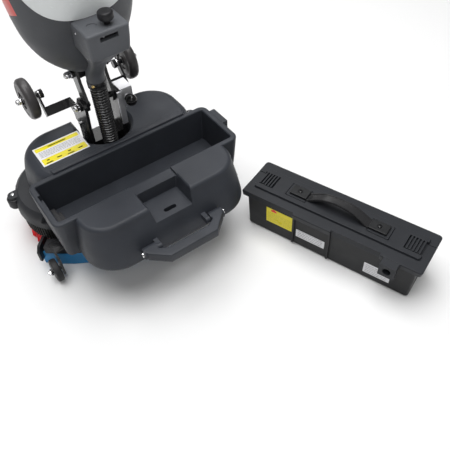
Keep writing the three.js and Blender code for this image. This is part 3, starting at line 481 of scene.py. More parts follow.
print_rng = random.Random(4)
LABEL_W, LABEL_H = 98, 60
care_patches = [(label_white, 0, LABEL_W, 0, LABEL_H), (label_yellow, 3, 95, 46, 57),
                (label_yellow, 3, 95, 3, 21), (label_ink, 30, 68, 50.4, 53.2)]
care_patches += small_print(print_rng, 6, 92, [41.5, 37.8, 34.1, 30.4, 26.7], 0.9, label_ink)
for cx in (15, 37, 60, 82):
    care_patches += [(label_ink, cx - half, cx + half, y, y + 3) for half, y in ((7, 5), (5, 9), (3, 13))]
sticker("care_label", (-150, 92, 200.02), (1, 0, 0), (0, 1, 0), care_patches, "head")

# ---- Inside the head and the brush deck ----
# Moulded and bought-in pieces whose form is already right: each gets its edges eased by
# a small radius, as a mould or a press leaves them, and its own finish.
def bevelled(thing, width, segments, angle):
    """Rounds the edges that turn by more than the angle."""
    rounding = thing.modifiers.new("rounding", "BEVEL")
    rounding.width = width
    rounding.segments = segments
    rounding.limit_method = "ANGLE"
    rounding.angle_limit = math.radians(angle)
    settle(thing)


def eased(node, material, width=0.7, segments=2):
    """A merged copy of a plain piece with rounded edges."""
    thing = bpy.data.objects.new(node + "_made", nodes[node].data.copy())
    bpy.context.scene.collection.objects.link(thing)
    drawing = bmesh.new()
    drawing.from_mesh(thing.data)
    bmesh.ops.remove_doubles(drawing, verts=drawing.verts, dist=2e-5)
    bmesh.ops.dissolve_limit(drawing, angle_limit=math.radians(0.6), verts=drawing.verts,
                             edges=drawing.edges)
    drawing.to_mesh(thing.data)
    drawing.free()
    thing.data.materials.clear()
    thing.data.materials.append(material)
    bevelled(thing, width / 1000, segments, 34)
    shade(thing)
    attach(thing, nodes[node]["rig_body"])
    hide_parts(node)
    return thing


deck_shell = moulded("deck_shell", (0.019, 0.020, 0.023), 0.50, grain=0.5)
black_moulding = moulded("black_moulding", (0.011, 0.011, 0.013), 0.40, grain=0.3)
skirt_rubber = moulded("skirt_rubber", (0.014, 0.0135, 0.013), 0.62, grain=0.5, grain_size=1.2, drift=0.25)
motor_paint = moulded("motor_paint", (0.16, 0.165, 0.17), 0.38, grain=0.25, grain_size=1.5, drift=0.12)


def plated(name, colour, roughness):
    """Metal finish: fine rolled streaks, cloudy polish and a little tarnish."""
    material = moulded(name, colour, roughness, grain=0.12, grain_size=1.4, drift=0.12)
    material.node_tree.nodes["Principled BSDF"].inputs["Metallic"].default_value = 1.0
    return material


def coated(material, weight, roughness):
    """A clear gloss over a finish."""
    shader = material.node_tree.nodes["Principled BSDF"]
    shader.inputs["Coat Weight"].default_value = weight
    shader.inputs["Coat Roughness"].default_value = roughness
    return material


bright_steel = plated("bright_steel", (0.66, 0.66, 0.67), 0.2)
zinc = plated("zinc", (0.74, 0.74, 0.76), 0.45)
brass = plated("brass", (0.72, 0.55, 0.25), 0.3)
enamel = coated(moulded("enamel", (0.0085, 0.0085, 0.0095), 0.28, grain=0.16, grain_size=2.5, drift=0.2,
                        specular=0.4), 0.25, 0.08)

eased("bulge_floor", deck_shell, 0.8)
eased("bay_contacts", black_moulding, 0.8)
eased("drive_controller", black_moulding, 1.2)
eased("water_pump", black_moulding, 0.8)
eased("brush_deck", deck_shell, 1.2, 3)
SIDES = (("left", -1), ("right", 1))
for side, _ in SIDES:
    eased(f"brush_motor_{side}", motor_paint, 1.0)
    eased(f"brush_plate_{side}", black_moulding, 0.8)
eased("splash_skirt", skirt_rubber, 0.4)

# ---- Splash skirt ribs ----
# The rubber skirt hangs round the deck and is moulded with upright ribs, so that it bends
# over sills; the ribs follow its outline at an even pitch.
def node_tree(name, *sizes):
    tree = bpy.data.node_groups.new(name, "GeometryNodeTree")
    tree.interface.new_socket("Geometry", in_out="INPUT", socket_type="NodeSocketGeometry")
    for label, kind, value in sizes:
        socket = tree.interface.new_socket(label, in_out="INPUT", socket_type="NodeSocket" + kind)
        if value is not None:
            socket.default_value = value
    tree.interface.new_socket("Geometry", in_out="OUTPUT", socket_type="NodeSocketGeometry")
    return tree, tree.nodes.new("NodeGroupInput"), tree.nodes.new("NodeGroupOutput")


def wired(tree, kind, links, **settings):
    """A node with its settings and inputs: a node or socket is linked, anything else is set."""
    node = tree.nodes.new(kind)
    for key, value in settings.items():
        setattr(node, key, value)
    for key, value in links.items():
        if isinstance(value, bpy.types.Node):
            value = value.outputs[0]
        if isinstance(value, bpy.types.NodeSocket):
            tree.links.new(value, node.inputs[key])
        else:
            node.inputs[key].default_value = value
    return node


def round_up(tree, given, result, geometry):
    """The end of a tree: instances made real and given their finish."""
    whole = wired(tree, "GeometryNodeRealizeInstances", {"Geometry": geometry})
    finished = wired(tree, "GeometryNodeSetMaterial", {
        "Geometry": whole, "Material": given.outputs["Material"]})
    tree.links.new(finished.outputs[0], result.inputs["Geometry"])


def grow(thing, tree, **values):
    """Runs a tree on a carrier, with its inputs set by identifier, and keeps the plain mesh."""
    step = thing.modifiers.new(tree.name, "NODES")
    step.node_group = tree
    for item in tree.interface.items_tree:
        if item.in_out == "INPUT" and item.name.replace(" ", "_") in values:
            step[item.identifier] = values[item.name.replace(" ", "_")]
    settle(thing)
    return thing


def polyline(points):
    mesh = bpy.data.meshes.new("line")
    mesh.from_pydata([tuple(p) for p in points], [(i, i + 1) for i in range(len(points) - 1)], [])
    thing = bpy.data.objects.new("line", mesh)
    bpy.context.scene.collection.objects.link(thing)
    return thing


ribs, given, result = node_tree("upright ribs", ("Pitch", "Float", 6.6),
                                ("Rib", "Vector", (2.6, 2.6, 37.0)), ("Material", "Material", None))
path = wired(ribs, "GeometryNodeMeshToCurve", {"Mesh": given})
steps = wired(ribs, "GeometryNodeResampleCurve", {"Curve": path, "Length": given.outputs["Pitch"]},
              mode="LENGTH")
rib = wired(ribs, "GeometryNodeMeshCube", {"Size": given.outputs["Rib"]})
heading = wired(ribs, "FunctionNodeAlignRotationToVector",
                {"Vector": wired(ribs, "GeometryNodeInputTangent", {})}, axis="X")
planted = wired(ribs, "GeometryNodeInstanceOnPoints", {
    "Points": steps, "Instance": rib, "Rotation": heading})
round_up(ribs, given, result, planted)

SKIRT_OUT, CORNER_STEPS = 105.9, 24
outline = rounded(-110 - SKIRT_OUT, 110 + SKIRT_OUT, BRUSH_ROW - SKIRT_OUT, BRUSH_ROW + SKIRT_OUT,
                  SKIRT_OUT - 0.01, CORNER_STEPS)
last_corner = 3 * (CORNER_STEPS + 1)
skirt_line = [(x, y, 58.5) for x, y in outline[last_corner:] + outline[:last_corner] if y > 60]
skirt_ribs = grow(polyline(skirt_line), ribs, Material=skirt_rubber)
fit(skirt_ribs, "skirt_ribs", skirt_rubber, "head", "rubber")

# ---- Disc brushes ----
# Red nylon bristles, drilled and stapled in tufts on five rings of each brush plate. They
# splay outwards and the tips of a tuft fan apart.
bristle_red = moulded("bristle_red", (0.62, 0.006, 0.012), 0.38, grain=0.1, grain_size=4, drift=0.3)

tufts, given, result = node_tree(
    "bristle tufts", ("Bristles", "Int", 9), ("Tuft Width", "Float", 2.4), ("Splay", "Float", 0.0017),
    ("Fan", "Float", 0.055), ("Length", "Float", 62.0), ("Root", "Float", 1.5), ("Tip", "Float", 0.9),
    ("Seed", "Int", 3), ("Material", "Material", None))


def arrows(operation, first, second):
    """One step of vector arithmetic on the bristles."""
    key = "Scale" if operation == "SCALE" else 1
    return wired(tufts, "ShaderNodeVectorMath", {0: first, key: second}, operation=operation)


holes = wired(tufts, "GeometryNodeMeshToPoints", {"Mesh": given})
many = wired(tufts, "GeometryNodeDuplicateElements", {
    "Geometry": holes, "Amount": given.outputs["Bristles"]}, domain="POINT")
where = wired(tufts, "GeometryNodeInputPosition", {})
spread = wired(tufts, "FunctionNodeRandomValue", {"Seed": given.outputs["Seed"]}, data_type="FLOAT_VECTOR")
spread.inputs[0].default_value = (-1, -1, 0)
spread.inputs[1].default_value = (1, 1, 0)
offset = arrows("SCALE", spread, given.outputs["Tuft Width"])
set_apart = wired(tufts, "GeometryNodeSetPosition", {"Geometry": many, "Offset": offset})
outward = arrows("SCALE", where, given.outputs["Splay"])
flat = arrows("MULTIPLY", outward, (1, 1, 0))
fan = arrows("SCALE", spread, given.outputs["Fan"])
downward = arrows("ADD", arrows("ADD", flat, fan), (0, 0, -1))
pose = wired(tufts, "FunctionNodeAlignRotationToVector", {"Vector": downward}, axis="Z")
hair = wired(tufts, "GeometryNodeMeshCone", {
    "Vertices": 5, "Radius Bottom": given.outputs["Root"], "Radius Top": given.outputs["Tip"],
    "Depth": given.outputs["Length"]})
planted = wired(tufts, "GeometryNodeInstanceOnPoints", {
    "Points": set_apart, "Instance": hair, "Rotation": pose})
round_up(tufts, given, result, planted)

TUFT_TOP = 62
rings = ((52, 24), (63, 28), (74, 33), (84, 38), (93, 42))
for side, sign in SIDES:
    tuft_holes = []
    for j, (radius, count) in enumerate(rings):
        for k in range(count):
            a = 2 * math.pi * (k + 0.5 * (j % 2)) / count
            tuft_holes.append((radius * math.cos(a), radius * math.sin(a), TUFT_TOP))
    bristles = grow(polyline(tuft_holes), tufts, Material=bristle_red, Seed=3 + sign)
    for vert in bristles.data.vertices:
        vert.co.z = max(vert.co.z, 0.0)
    bristles.data.transform(Matrix.Translation((sign * 110, BRUSH_ROW, 0)))
    fit(bristles, f"brush_bristles_{side}", bristle_red, f"brush_{side}", "bristle", f"bristles_{side}")

# ---- Screws, nuts and bolts ----
# Bright zinc-plated fixings, all drawn as a head or nut set on its seat: pan heads with a
# cross recess, domed cap nuts, plain hex nuts and socket heads.
fixings, given, result = node_tree("set fixings", ("Head", "Object", None), ("Size", "Float", 1.0),
                                   ("Material", "Material", None))
axis = wired(fixings, "GeometryNodeInputNamedAttribute", {"Name": "axis"}, data_type="FLOAT_VECTOR")
stance = wired(fixings, "FunctionNodeAlignRotationToVector", {"Vector": axis}, axis="Z")
head = wired(fixings, "GeometryNodeObjectInfo", {"Object": given.outputs["Head"]},
             transform_space="ORIGINAL")
dots = wired(fixings, "GeometryNodeMeshToPoints", {"Mesh": given})
planted = wired(fixings, "GeometryNodeInstanceOnPoints", {
    "Points": dots, "Instance": head.outputs["Geometry"], "Rotation": stance,
    "Scale": given.outputs["Size"]})
round_up(fixings, given, result, planted)
UP = (0, 0, 1)


def unit(name, thing):
    """Keeps a drawn head as a pattern for the fixings, out of the machine itself."""
    thing.name = name
    thing.hide_render = True
    return thing


pan_head = unit("pan_head", carve(
    turned([(0, -0.6), (1, -0.6), (1, 0.12), (0.93, 0.36), (0.74, 0.55), (0.4, 0.66), (0, 0.7)],
           sides=24),
    cuts=(brick(-0.6, 0.6, -0.11, 0.11, 0.25, 1), brick(-0.11, 0.11, -0.6, 0.6, 0.25, 1))))
socket_head = unit("socket_head", carve(
    turned([(0, -0.5), (1, -0.5), (1, 0.75), (0.9, 0.86), (0, 0.86)], sides=28),
    cuts=(turned([(0.5, 0.2), (0.5, 1.2)], sides=6),)))
cap_nut = unit("cap_nut", carve(
    turned([(1.25, -0.1), (1.25, 0.12), (0, 0.12)], sides=28),
    joins=(turned([(1, 0.1), (1.04, 0.8), (0.9, 0.92), (0, 0.92)], sides=6),
           turned([(0.86, 0.85), (0.84, 1.15), (0.7, 1.45), (0.42, 1.66), (0, 1.74)],
                  sides=24))))
hex_nut = unit("hex_nut", carve(
    turned([(1.3, -0.1), (1.3, 0.12), (0, 0.12)], sides=28),
    joins=(turned([(0.93, 0.1), (1, 0.2), (1, 0.72), (0.93, 0.82), (0, 0.82)], sides=6),
           turned([(0.52, 0.7), (0.52, 1.1), (0.42, 1.22), (0, 1.22)], sides=20))))


def fasten(name, pattern, size, places, body, material=bright_steel):
    """Sets one kind of fixing at every place, each given as (point, outward axis)."""
    carrier = polyline([point for point, _ in places])
    directions = carrier.data.attributes.new("axis", "FLOAT_VECTOR", "POINT")
    directions.data.foreach_set("vector", [c for _, way in places for c in Vector(way).normalized()])
    grow(carrier, fixings, Head=pattern, Size=float(size), Material=material)
    return fit(carrier, name, material, body, "bright_steel")


BUMPER_X, BUMPER_Y = 218, 160
for side, sign in SIDES:
    out = (sign, 0, 0)
    fasten(f"bumper_screw_{side}", pan_head, 4.6, [((sign * BUMPER_X, BUMPER_Y, 109.6), UP)], "head")
    fasten(f"carry_handle_screw_{side}", socket_head, 5, [((sign * 85.2, LUG_Y, LUG_Z), out)], "head")
    turned_tyre = turned([(4.4, 80), (11, 80), (13.6, 81), (15, 84), (15, 100), (13.6, 103),
                                    (11, 104), (4.4, 104), (4.4, 80)],
                         (sign * BUMPER_X, BUMPER_Y, 0), sides=48)
    fit(turned_tyre, f"bumper_tyre_{side}", black_moulding, f"bumper_{side}", "rubber",
        f"bumper_roller_{side}")

# ---- Carry handle ----
# Chamfered bail moulded in the cover's plastic. It hinges on two socket screws that go
# into lugs on the bulge, and folds down against it.
eased("carry_handle", charcoal_shell, 1.6, 3)

# ---- Squeegee ----
# Curved black beam with a blue rubber blade front and back, steel carrier plate on guide
# posts, chamfered end plates, and a caster on a bent leg at each end.
SQUEEGEE_R, SQUEEGEE_Y, SQUEEGEE_ANGLE = 306, 271, 43.4
CASTER_Y, CASTER_Z = -2, 25
blade_blue = moulded("blade_blue", (0.02, 0.17, 0.37), 0.45, grain=0.25, grain_size=1.5, drift=0.12)
caster_rubber = moulded("caster_rubber", (0.016, 0.016, 0.017), 0.5, grain=0.4, grain_size=1.2, drift=0.25)
eased("squeegee_beam", black_moulding, 1.2, 2)
eased("rear_blade", blade_blue, 0.5, 1)
eased("front_blade", blade_blue, 0.5, 1)
eased("squeegee_carrier", enamel, 0.6)
eased("squeegee_guides", bright_steel, 0.5)
for side, sign in SIDES:
    eased(f"squeegee_end_{side}", black_moulding, 1.0)
    eased(f"caster_bracket_{side}", enamel, 0.5)
    tread = [(4.4, 210), (17, 210), (17.5, 211.2), (19.2, 211.2), (20, 210), (22.6, 210.3), (24.2, 211.6),
             (24.6, 213.6), (24.6, 220.4), (24.2, 222.4), (22.6, 223.7), (20, 224), (19.2, 222.8),
             (17.5, 222.8), (17, 224), (4.4, 224), (4.4, 210)]
    wheel = turned([(r, (x - 217)) for r, x in tread], (sign * 217, CASTER_Y, CASTER_Z), (1, 0, 0), 48)
    fit(wheel, f"caster_tyre_{side}", caster_rubber, f"caster_{side}", "rubber", f"caster_wheel_{side}")
    out = (sign, 0, 0)
    lean = math.radians(SQUEEGEE_ANGLE + 1.1)
    way = Vector((sign * math.sin(lean), -math.cos(lean), 0))
    along = Vector((sign * math.cos(lean), math.sin(lean), 0))
    face = Vector((0, SQUEEGEE_Y, 0)) + way * SQUEEGEE_R + along * 6
    face.z = 44
    fasten(f"squeegee_end_bolt_{side}", socket_head, 4.6, [(tuple(face), tuple(along))], "squeegee")
    fasten(f"caster_bolt_{side}", hex_nut, 5.2, [((sign * 228.6, CASTER_Y, CASTER_Z), out)], "squeegee")

# ---- Hoses ----
# Glossy black corrugated suction hose: one piece up from the head through the neck to the
# hose box, one under the bay to the squeegee.
corrugated, given, result = node_tree(
    "corrugated hose", ("Radius", "Float", 16.5), ("Depth", "Float", 3.2), ("Pitch", "Float", 6.2),
    ("Step", "Float", 0.8), ("Sides", "Int", 40), ("Material", "Material", None))


def reckoned(operation, first, second=0.0):
    """One step of arithmetic along the hose."""
    return wired(corrugated, "ShaderNodeMath", {0: first, 1: second}, operation=operation)


path = wired(corrugated, "GeometryNodeMeshToCurve", {"Mesh": given})
steps = wired(corrugated, "GeometryNodeResampleCurve", {
    "Curve": path, "Length": given.outputs["Step"]}, mode="LENGTH")
run = wired(corrugated, "GeometryNodeSplineParameter", {})
turns = reckoned("DIVIDE", run.outputs["Length"], given.outputs["Pitch"])
wave = reckoned("COSINE", reckoned("MULTIPLY", turns, math.pi))
GROOVE_SHARPNESS = 2.2
groove = reckoned("POWER", reckoned("MULTIPLY", wave, wave), GROOVE_SHARPNESS)
sunk = reckoned("MULTIPLY", groove, given.outputs["Depth"])
girth = reckoned("SUBTRACT", given.outputs["Radius"], sunk)
section = wired(corrugated, "GeometryNodeCurvePrimitiveCircle", {
    "Resolution": given.outputs["Sides"], "Radius": 1.0})
wall = wired(corrugated, "GeometryNodeCurveToMesh", {
    "Curve": steps, "Profile Curve": section, "Scale": girth, "Fill Caps": True})
round_up(corrugated, given, result, wall)

hose_black = coated(moulded("hose_black", (0.010, 0.010, 0.011), 0.15, grain=0.06, grain_size=3, drift=0.2,
                            specular=0.7), 0.8, 0.1)
HOSE_LOW, HOSE_HIGH = 118.2, 313.6
upper = polyline([(0, HOSE_Y, HOSE_LOW + k * (HOSE_HIGH - HOSE_LOW) / 12) for k in range(13)])
grow(upper, corrugated, Material=hose_black)
upper_hose = fit(upper, "corrugated_hose", hose_black, None, "hose_rubber", "recovery_hose", sharp=70)
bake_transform(upper_hose)

route = [(0, -35, 64.4), (0, -32, 74), (0, -14, 82), (0, 20, 82), (0, 60, 82), (0, 96, 86), (0, 110, 98),
         (0, HOSE_Y, 115.6)]
lower = polyline(flowing(route, 8))
grow(lower, corrugated, Radius=12.5, Depth=1.8, Pitch=5.0, Step=1.0, Sides=28, Material=hose_black)
lower_hose = fit(lower, "squeegee_suction_hose", hose_black, None, "hose_rubber", "squeegee_hose", sharp=70)
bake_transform(lower_hose)

# ---- Neck: swivel base, cradle and transport wheels ----
# Gloss black enamelled steel: a spindle in the neck well, a cradle with two cheeks round
# the hose, and a bent strap each side out to a solid rubber wheel.
wheel_rubber = moulded("wheel_rubber", (0.050, 0.047, 0.048), 0.34, grain=0.3, grain_size=1.6, drift=0.28)
WHEEL_Y, WHEEL_Z = 218, 267
eased("swivel_base", enamel, 0.6)
eased("neck_cradle", enamel, 0.8, 2)
for side, sign in SIDES:
    out = (sign, 0, 0)
    tyre = [(5.4, -11), (9.5, -11), (10, -8.6), (17.2, -8.2), (18, -11), (26, -10.6), (30, -9.4),
            (31.5, -10.4), (35, -10.9), (38, -9.8), (40.6, -7.4), (41.8, -4), (42, 0)]
    tyre += [(r, -x) for r, x in reversed(tyre[:-1])] + [tyre[0]]
    wheel = turned(tyre, (sign * 110, WHEEL_Y, WHEEL_Z), (1, 0, 0), 64)
    fit(wheel, f"wheel_tyre_{side}", wheel_rubber, f"wheel_{side}", "wheel_rubber",
        f"transport_wheel_{side}")
    washer = turned([(5.2, 0), (8.4, 0), (8.4, 0.8), (5.2, 0.8), (5.2, 0)],
                    (sign * 121.1, WHEEL_Y, WHEEL_Z), out, 28)
    fit(washer, f"wheel_washer_{side}", bright_steel, "neck", "bright_steel")
    fasten(f"wheel_axle_nuts_{side}", cap_nut, 6.4, [((sign * 124.6, WHEEL_Y, WHEEL_Z), out)], "neck")
    fasten(f"wheel_strap_nut_{side}", hex_nut, 6.8,
           [((sign * 87.6, WHEEL_Y, WHEEL_Z), (-sign, 0, 0))], "neck")
    fasten(f"tilt_pin_nut_{side}", cap_nut, 6.6, [((sign * 42.6, 126, 270), out)], "neck")
fasten("cradle_cap_screws", socket_head, 3.6,
       [((sign * 38.2, y, z), (sign, 0, 0)) for _, sign in SIDES for y, z in ((146, 150), (160, 208))],
       "neck")

# ---- Parking lock ----
# Bent plate of bright zinc-plated steel beside the cradle; a spring pin with a black ball
# knob goes through it into the yoke and holds the column upright.
eased("lock_bracket", zinc, 0.5)
ball_black = moulded("ball_black", (0.008, 0.008, 0.009), 0.1, grain=0.04, grain_size=4, drift=0.2)
ball = [(0, -34.5), (4, -34.5), (4, -7), (7.2, -7), (8.4, -6.2)]
ball += [(11.5 * math.sin(a), -11.5 * math.cos(a)) for a in (math.radians(10 * k) for k in range(6, 18))]
ball_knob = turned(ball + [(0, 11.5)], (53, 92.5, 263), (0, -1, 0), 40)
fit(ball_knob, "lock_ball_knob", ball_black, "lock", "black_plastic", "lock_knob")
spring_ring = turned([(4.9, 0), (9, 0), (9, 2), (4.9, 2), (4.9, 0)], (53, 104.9, 263), (0, -1, 0), 32)
fit(spring_ring, "lock_ring", bright_steel, "neck", "bright_steel")

# ---- Column yoke ----
# Two arms of black steel bar on the tilt pins carry a foot with a cross bolt, from which a
# tube runs up behind the tank to the handle. Domed cap nuts close both ends of the bolt.
eased("column_yoke", enamel, 0.9, 2)
fasten("yoke_cap_nuts", cap_nut, 7.4, [((sign * 37.6, 139, 336), (sign, 0, 0)) for _, sign in SIDES],
       "column")

# ---- Hose box ----
# Hollow moulding on the front of the tank that takes the hose from below: sloping cheeks, a
# release slot in its face, a drain knob and a blind round seat on its flat top.
tank_grey = moulded("tank_grey", (0.066, 0.069, 0.076), 0.48, grain=0.4, grain_size=0.8)
# The hose box's grey is the tank's grey plastic made about 1.4 times paler: painted light standing for the
# light that falls on the box's flat top.
box_grey = moulded("box_grey", (0.094, 0.099, 0.109), 0.48, grain=0.4, grain_size=0.8)


def box_row(z, half, near, far, radius):
    return z, rounded(-half, half, near, far, radius, 8)


hose_rows = [(333.3, 17, 95, 129, 16.9), (340, 17, 92.6, 126, 15.5), (352, 16.4, 88, 120, 12),
             (378, 15.5, 66, 112, 9), (410, 27, 30, 108, 7), (428, 35.5, 6, 106, 5.5),
             (448, 37, 2.6, 106, 5.5), (472, 38, 0, 106, 5.5)]
hose_rows += [(472 + 4 * math.sin(a), 38 - 4 * (1 - math.cos(a)), 4 * (1 - math.cos(a)), 106, 5.5)
              for a in (math.radians(18 * k) for k in range(1, 6))]
hose_box = stacked([box_row(*row) for row in hose_rows])
cuff = turned([(17.5, 314), (17.5, 336), (12.5, 336), (12.5, 314), (17.5, 314)], (0, HOSE_Y, 0), sides=48)
slot_hole = brick(-16, 16, -10, 16, 459, 468)
knob_hole = turned([(5.3, 460), (5.3, 486)], (8, 19, 0), sides=24)
round_seat = turned([(9, 474.9), (9, 486)], (-16, 26, 0), sides=36)
hose_way = turned([(12.5, 300), (12.5, 352)], (0, HOSE_Y, 0), sides=32)
carve(hose_box, joins=(cuff,), cuts=(slot_hole, knob_hole, round_seat, hose_way))
fit(hose_box, "hose_box", box_grey, "column", "tank_plastic", "hose_manifold")
catch = stacked([(z, rounded(-15, 15, 9, 15, 1, 3)) for z in (460, 463.4)])
fit(catch, "hose_box_catch", black_moulding, "column", "tank_plastic")
fasten("hose_box_pin", pan_head, 2.6, [((-7, 8.6, 463.6), (0, -1, 0))], "column")
fasten("hose_box_screws", pan_head, 1.7,
       [((-37.4, 46, 462), (-1, 0, 0.1)), ((-31.4, 34, 420), (-1, 0, -0.45))], "column")

knob_rows = [(0, 461), (5, 461), (5, 483.6), (9.6, 484), (12, 485), (13, 487.2)]
knob_rows += [(13, 493.6), (12.4, 495.8), (10.8, 497.3), (8.4, 498), (0, 498)]
drain_cap = turned(knob_rows, (8, 19, 0), sides=48)
fit(drain_cap, "drain_cap", black_moulding, "drain", "black_plastic", "drain_knob")

clamp_rows = [(17.6, 0), (18.4, 0), (18.6, 1), (18.6, 8), (18.4, 9), (17.6, 9), (17.6, 0)]
clamp = turned(clamp_rows, (0, HOSE_Y, 315), sides=56)
fit(clamp, "hose_clamp", enamel, "column", "bright_steel")
collar = turned([(15.6, 0), (17.9, 0), (18.5, 1.4), (17.9, 3), (15.6, 3), (15.6, 0)], (0, HOSE_Y, 310.4),
                sides=56)
fit(collar, "hose_collar", hose_black, "column", "hose_rubber")
fasten("hose_clamp_screw", pan_head, 3.4, [((-13.2, 99, 320), (-0.72, -0.7, 0))], "column", brass)

# ---- Tank ----
# Blow-moulded solution tank in dark grey round the column tube, with an oval window that
# the light grey recovery tank fills, and a coral band let into each side.
TANK_ROWS = [(345, 34, 26, 141), (352, 41, 34, 139), (364, 56, 43, 138), (380, 71, 52, 137),
             (400, 85, 60, 136), (430, 98, 69, 135), (463, 105, 77, 134), (500, 109, 84, 134),
             (560, 112, 90, 134), (640, 111, 92, 136), (710, 106, 88, 140), (742, 100, 82, 143)]


def oval(half_x, half_y, cx, cy, power=2.25, sides=112):
    outline = []
    for i in range(sides):
        c, s = math.cos(2 * math.pi * i / sides), math.sin(2 * math.pi * i / sides)
        outline.append((cx + half_x * math.copysign(abs(c) ** (2 / power), c),
                        cy + half_y * math.copysign(abs(s) ** (2 / power), s)))
    return outline


def tank_skin(inset, low=0, high=None):
    rows = [row for row in flowing(TANK_ROWS, 6) if row[0] >= low]
    return stacked([(high if high and row is rows[-1] else row[0],
                             oval(row[1] - inset, row[2] - inset, 0, row[3])) for row in rows])


def pushed(outline, axis, start, stop):
    """Flat outline pushed along X (outline in Y, Z) or along Y (outline in X, Z)."""
    return sketch(lambda drawing: skin(drawing, [
        [drawing.verts.new((at, a, b) if axis == "x" else (a, at, b)) for a, b in outline]
        for at in (start, stop)]))


def window(inset):
    return pushed(oval(104 - inset, 118 - inset, 0, 594, 2.8, 96), "y", 20, 108)


def side_band(sign, inset):
    edge = [(104 + inset, 490 + inset), (158 - inset, 470 + inset), (166 - inset, 728 - inset),
            (136 + inset, 728 - inset)]
    return pushed(edge, "x", *sorted((sign * 60, sign * 130)))


TUBE_Y = 178
tank = tank_skin(0)
room = carve(tank_skin(4, 400, 747), cuts=(window(-4), brick(-50, 50, 200, 204, 600, 650)))
foot_space = carve(brick(-31, 31, 126, 160, 330, 352), joins=(
    brick(-25.5, 25.5, 129.5, 159, 330, 386),
    stacked([(378, rounded(-22, 22, 129.5, 161, 4, 3)), (425, rounded(-18, 18, 159, 197, 4, 3))]),
    turned([(17.6, 398), (17.6, 440)], (0, TUBE_Y, 0), sides=32)))
box_space = stacked([box_row(z, half + 0.3, near - 0.3, far + 0.3, radius)
                               for z, half, near, far, radius in hose_rows] +
                    [box_row(481, 34.3, 3.7, 106.3, 5.5)])
bands = [carve(side_band(sign, 0), cuts=(tank_skin(3),)) for _, sign in SIDES]
carve(tank, cuts=(room, window(0), box_space, foot_space, brick(-24, 24, 205, 214, 560, 700), *bands))
fit(tank, "tank_shell", tank_grey, "column", "tank_plastic", "solution_tank")

panel_grey = moulded("panel_grey", (0.74, 0.765, 0.765), 0.42, grain=0.35, grain_size=0.8, drift=0.05)
tub_room = carve(tank_skin(5, 430, 746), meets=(window(5),), cuts=(brick(-120, 120, 103, 140, 400, 800),))
tub = carve(tank_skin(0.4), meets=(window(0.3),),
            cuts=(tub_room, turned([(20, 0), (20, 50)], (0, 60, 668), (0, 1, 0), 40)))
spout_lid = turned([(0, 0), (17.6, 0), (19.2, 1.4), (19.2, 5), (17, 7.4), (15.4, 7.4), (14.8, 6.2),
                           (0, 6.2)], (0, 52.6, 668), (0, -1, 0), 48)
fit(spout_lid, "recovery_tank_cap", black_moulding, "column", "black_plastic")
bevelled(tub, 1.0, 2, 50)
fit(tub, "recovery_tank_shell", panel_grey, "column", "panel_plastic", "recovery_tank")

coral = moulded("coral", (0.66, 0.075, 0.06), 0.34, grain=0.25, grain_size=1, drift=0.05)
for side, sign in SIDES:
    band = carve(tank_skin(0.2), meets=(side_band(sign, 0.3),), cuts=(tank_skin(2.7),))
    fit(band, f"coral_band_{side}", coral, "column", "accent_plastic", f"accent_strip_{side}")
eased("vacuum_motor", motor_paint, 1)

# ---- Top cover, stem and handlebar ----
# Moulded lid over the tank, a black steel stem, and a control pod with a small screen and
# three keys on a steel handlebar with ribbed rubber grips and a squeeze lever.
lid_rows = [(742.3, 100, 82, 143), (752, 99, 81, 143.2), (760, 96, 78, 144), (767, 90, 72.5, 145.3),
            (771, 83, 66.5, 146.5), (772, 76, 60, 147.4)]
lid = stacked([(z, oval(a, b, 0, c)) for z, a, b, c in lid_rows])
cap_groove = [(34, 770.6), (34, 790), (30, 790), (30, 770.6), (34, 770.6)]
carve(lid, cuts=(turned([(19, 700), (19, 800)], (0, TUBE_Y, 0), sides=40),
                 turned(cap_groove, (0, 118, 0), sides=56)))
fit(lid, "tank_lid", tank_grey, "column", "tank_plastic", "top_cover")
lid_holes = ((-62, 128), (62, 128), (-52, 172), (52, 172))
fasten("tank_lid_screws", pan_head, 4, [((x, y, 770.4), UP) for x, y in lid_holes], "column", enamel)
filler = turned([(0, 0), (27, 0), (28, 1.2), (28, 5), (26.5, 6.6), (0, 7.4)], (0, 118, 771.4), sides=64)
fit(filler, "filler_cap", black_moulding, "column", "black_plastic")
eased("handle_stem", enamel, 0.8)
eased("control_pod", tank_grey, 1.4, 3)
screen_glass = moulded("screen_glass", (0.006, 0.009, 0.011), 0.07, grain=0.02, grain_size=5, drift=0.3)
eased("display_screen", screen_glass, 0.6)
eased("brush_button", coral, 1.2, 3)
eased("water_button", panel_grey, 1.2, 3)
eased("suction_button", panel_grey, 1.2, 3)
eased("handlebar", enamel, 0.8)
eased("drive_trigger", coral, 1.6, 3)
grip_rubber = moulded("grip_rubber", (0.018, 0.018, 0.019), 0.6, grain=0.5, grain_size=0.9, drift=0.2)
PINHOLE = 0.01  # closed by the weld
for side, sign in SIDES:
    rows = [(12.3, 84), (18.6, 84), (18.9, 85.5), (18.9, 88), (16.4, 89.5)]
    for k in range(16):
        at = 91 + 6.1 * k
        rows += [(16.4, at), (17.3, at + 0.9), (17.3, at + 3.8), (16.4, at + 4.7)]
    rows += [(17, 189), (17, 192.6), (15.4, 194), (PINHOLE, 194), (PINHOLE, 191.2), (12.3, 191.2),
             (12.3, 84)]
    grip = turned(rows, (0, TUBE_Y, 1042), (sign, 0, 0), weld=0.05)
    fit(grip, f"ribbed_grip_{side}", grip_rubber, "column", "rubber", f"grip_{side}")

# ---- Battery pack ----
# Black moulded case with ribs along both sides and a charcoal lid: raised band, ribbed
# sliding latches, a rubber strap on two screwed pads, a charge socket, and printed films.
PACK_AT = Vector((287, -271, 0))
pack_turn = math.radians(-69.6)
pack_across = Vector((math.cos(pack_turn), math.sin(pack_turn), 0))
pack_along = Vector((-math.sin(pack_turn), math.cos(pack_turn), 0))


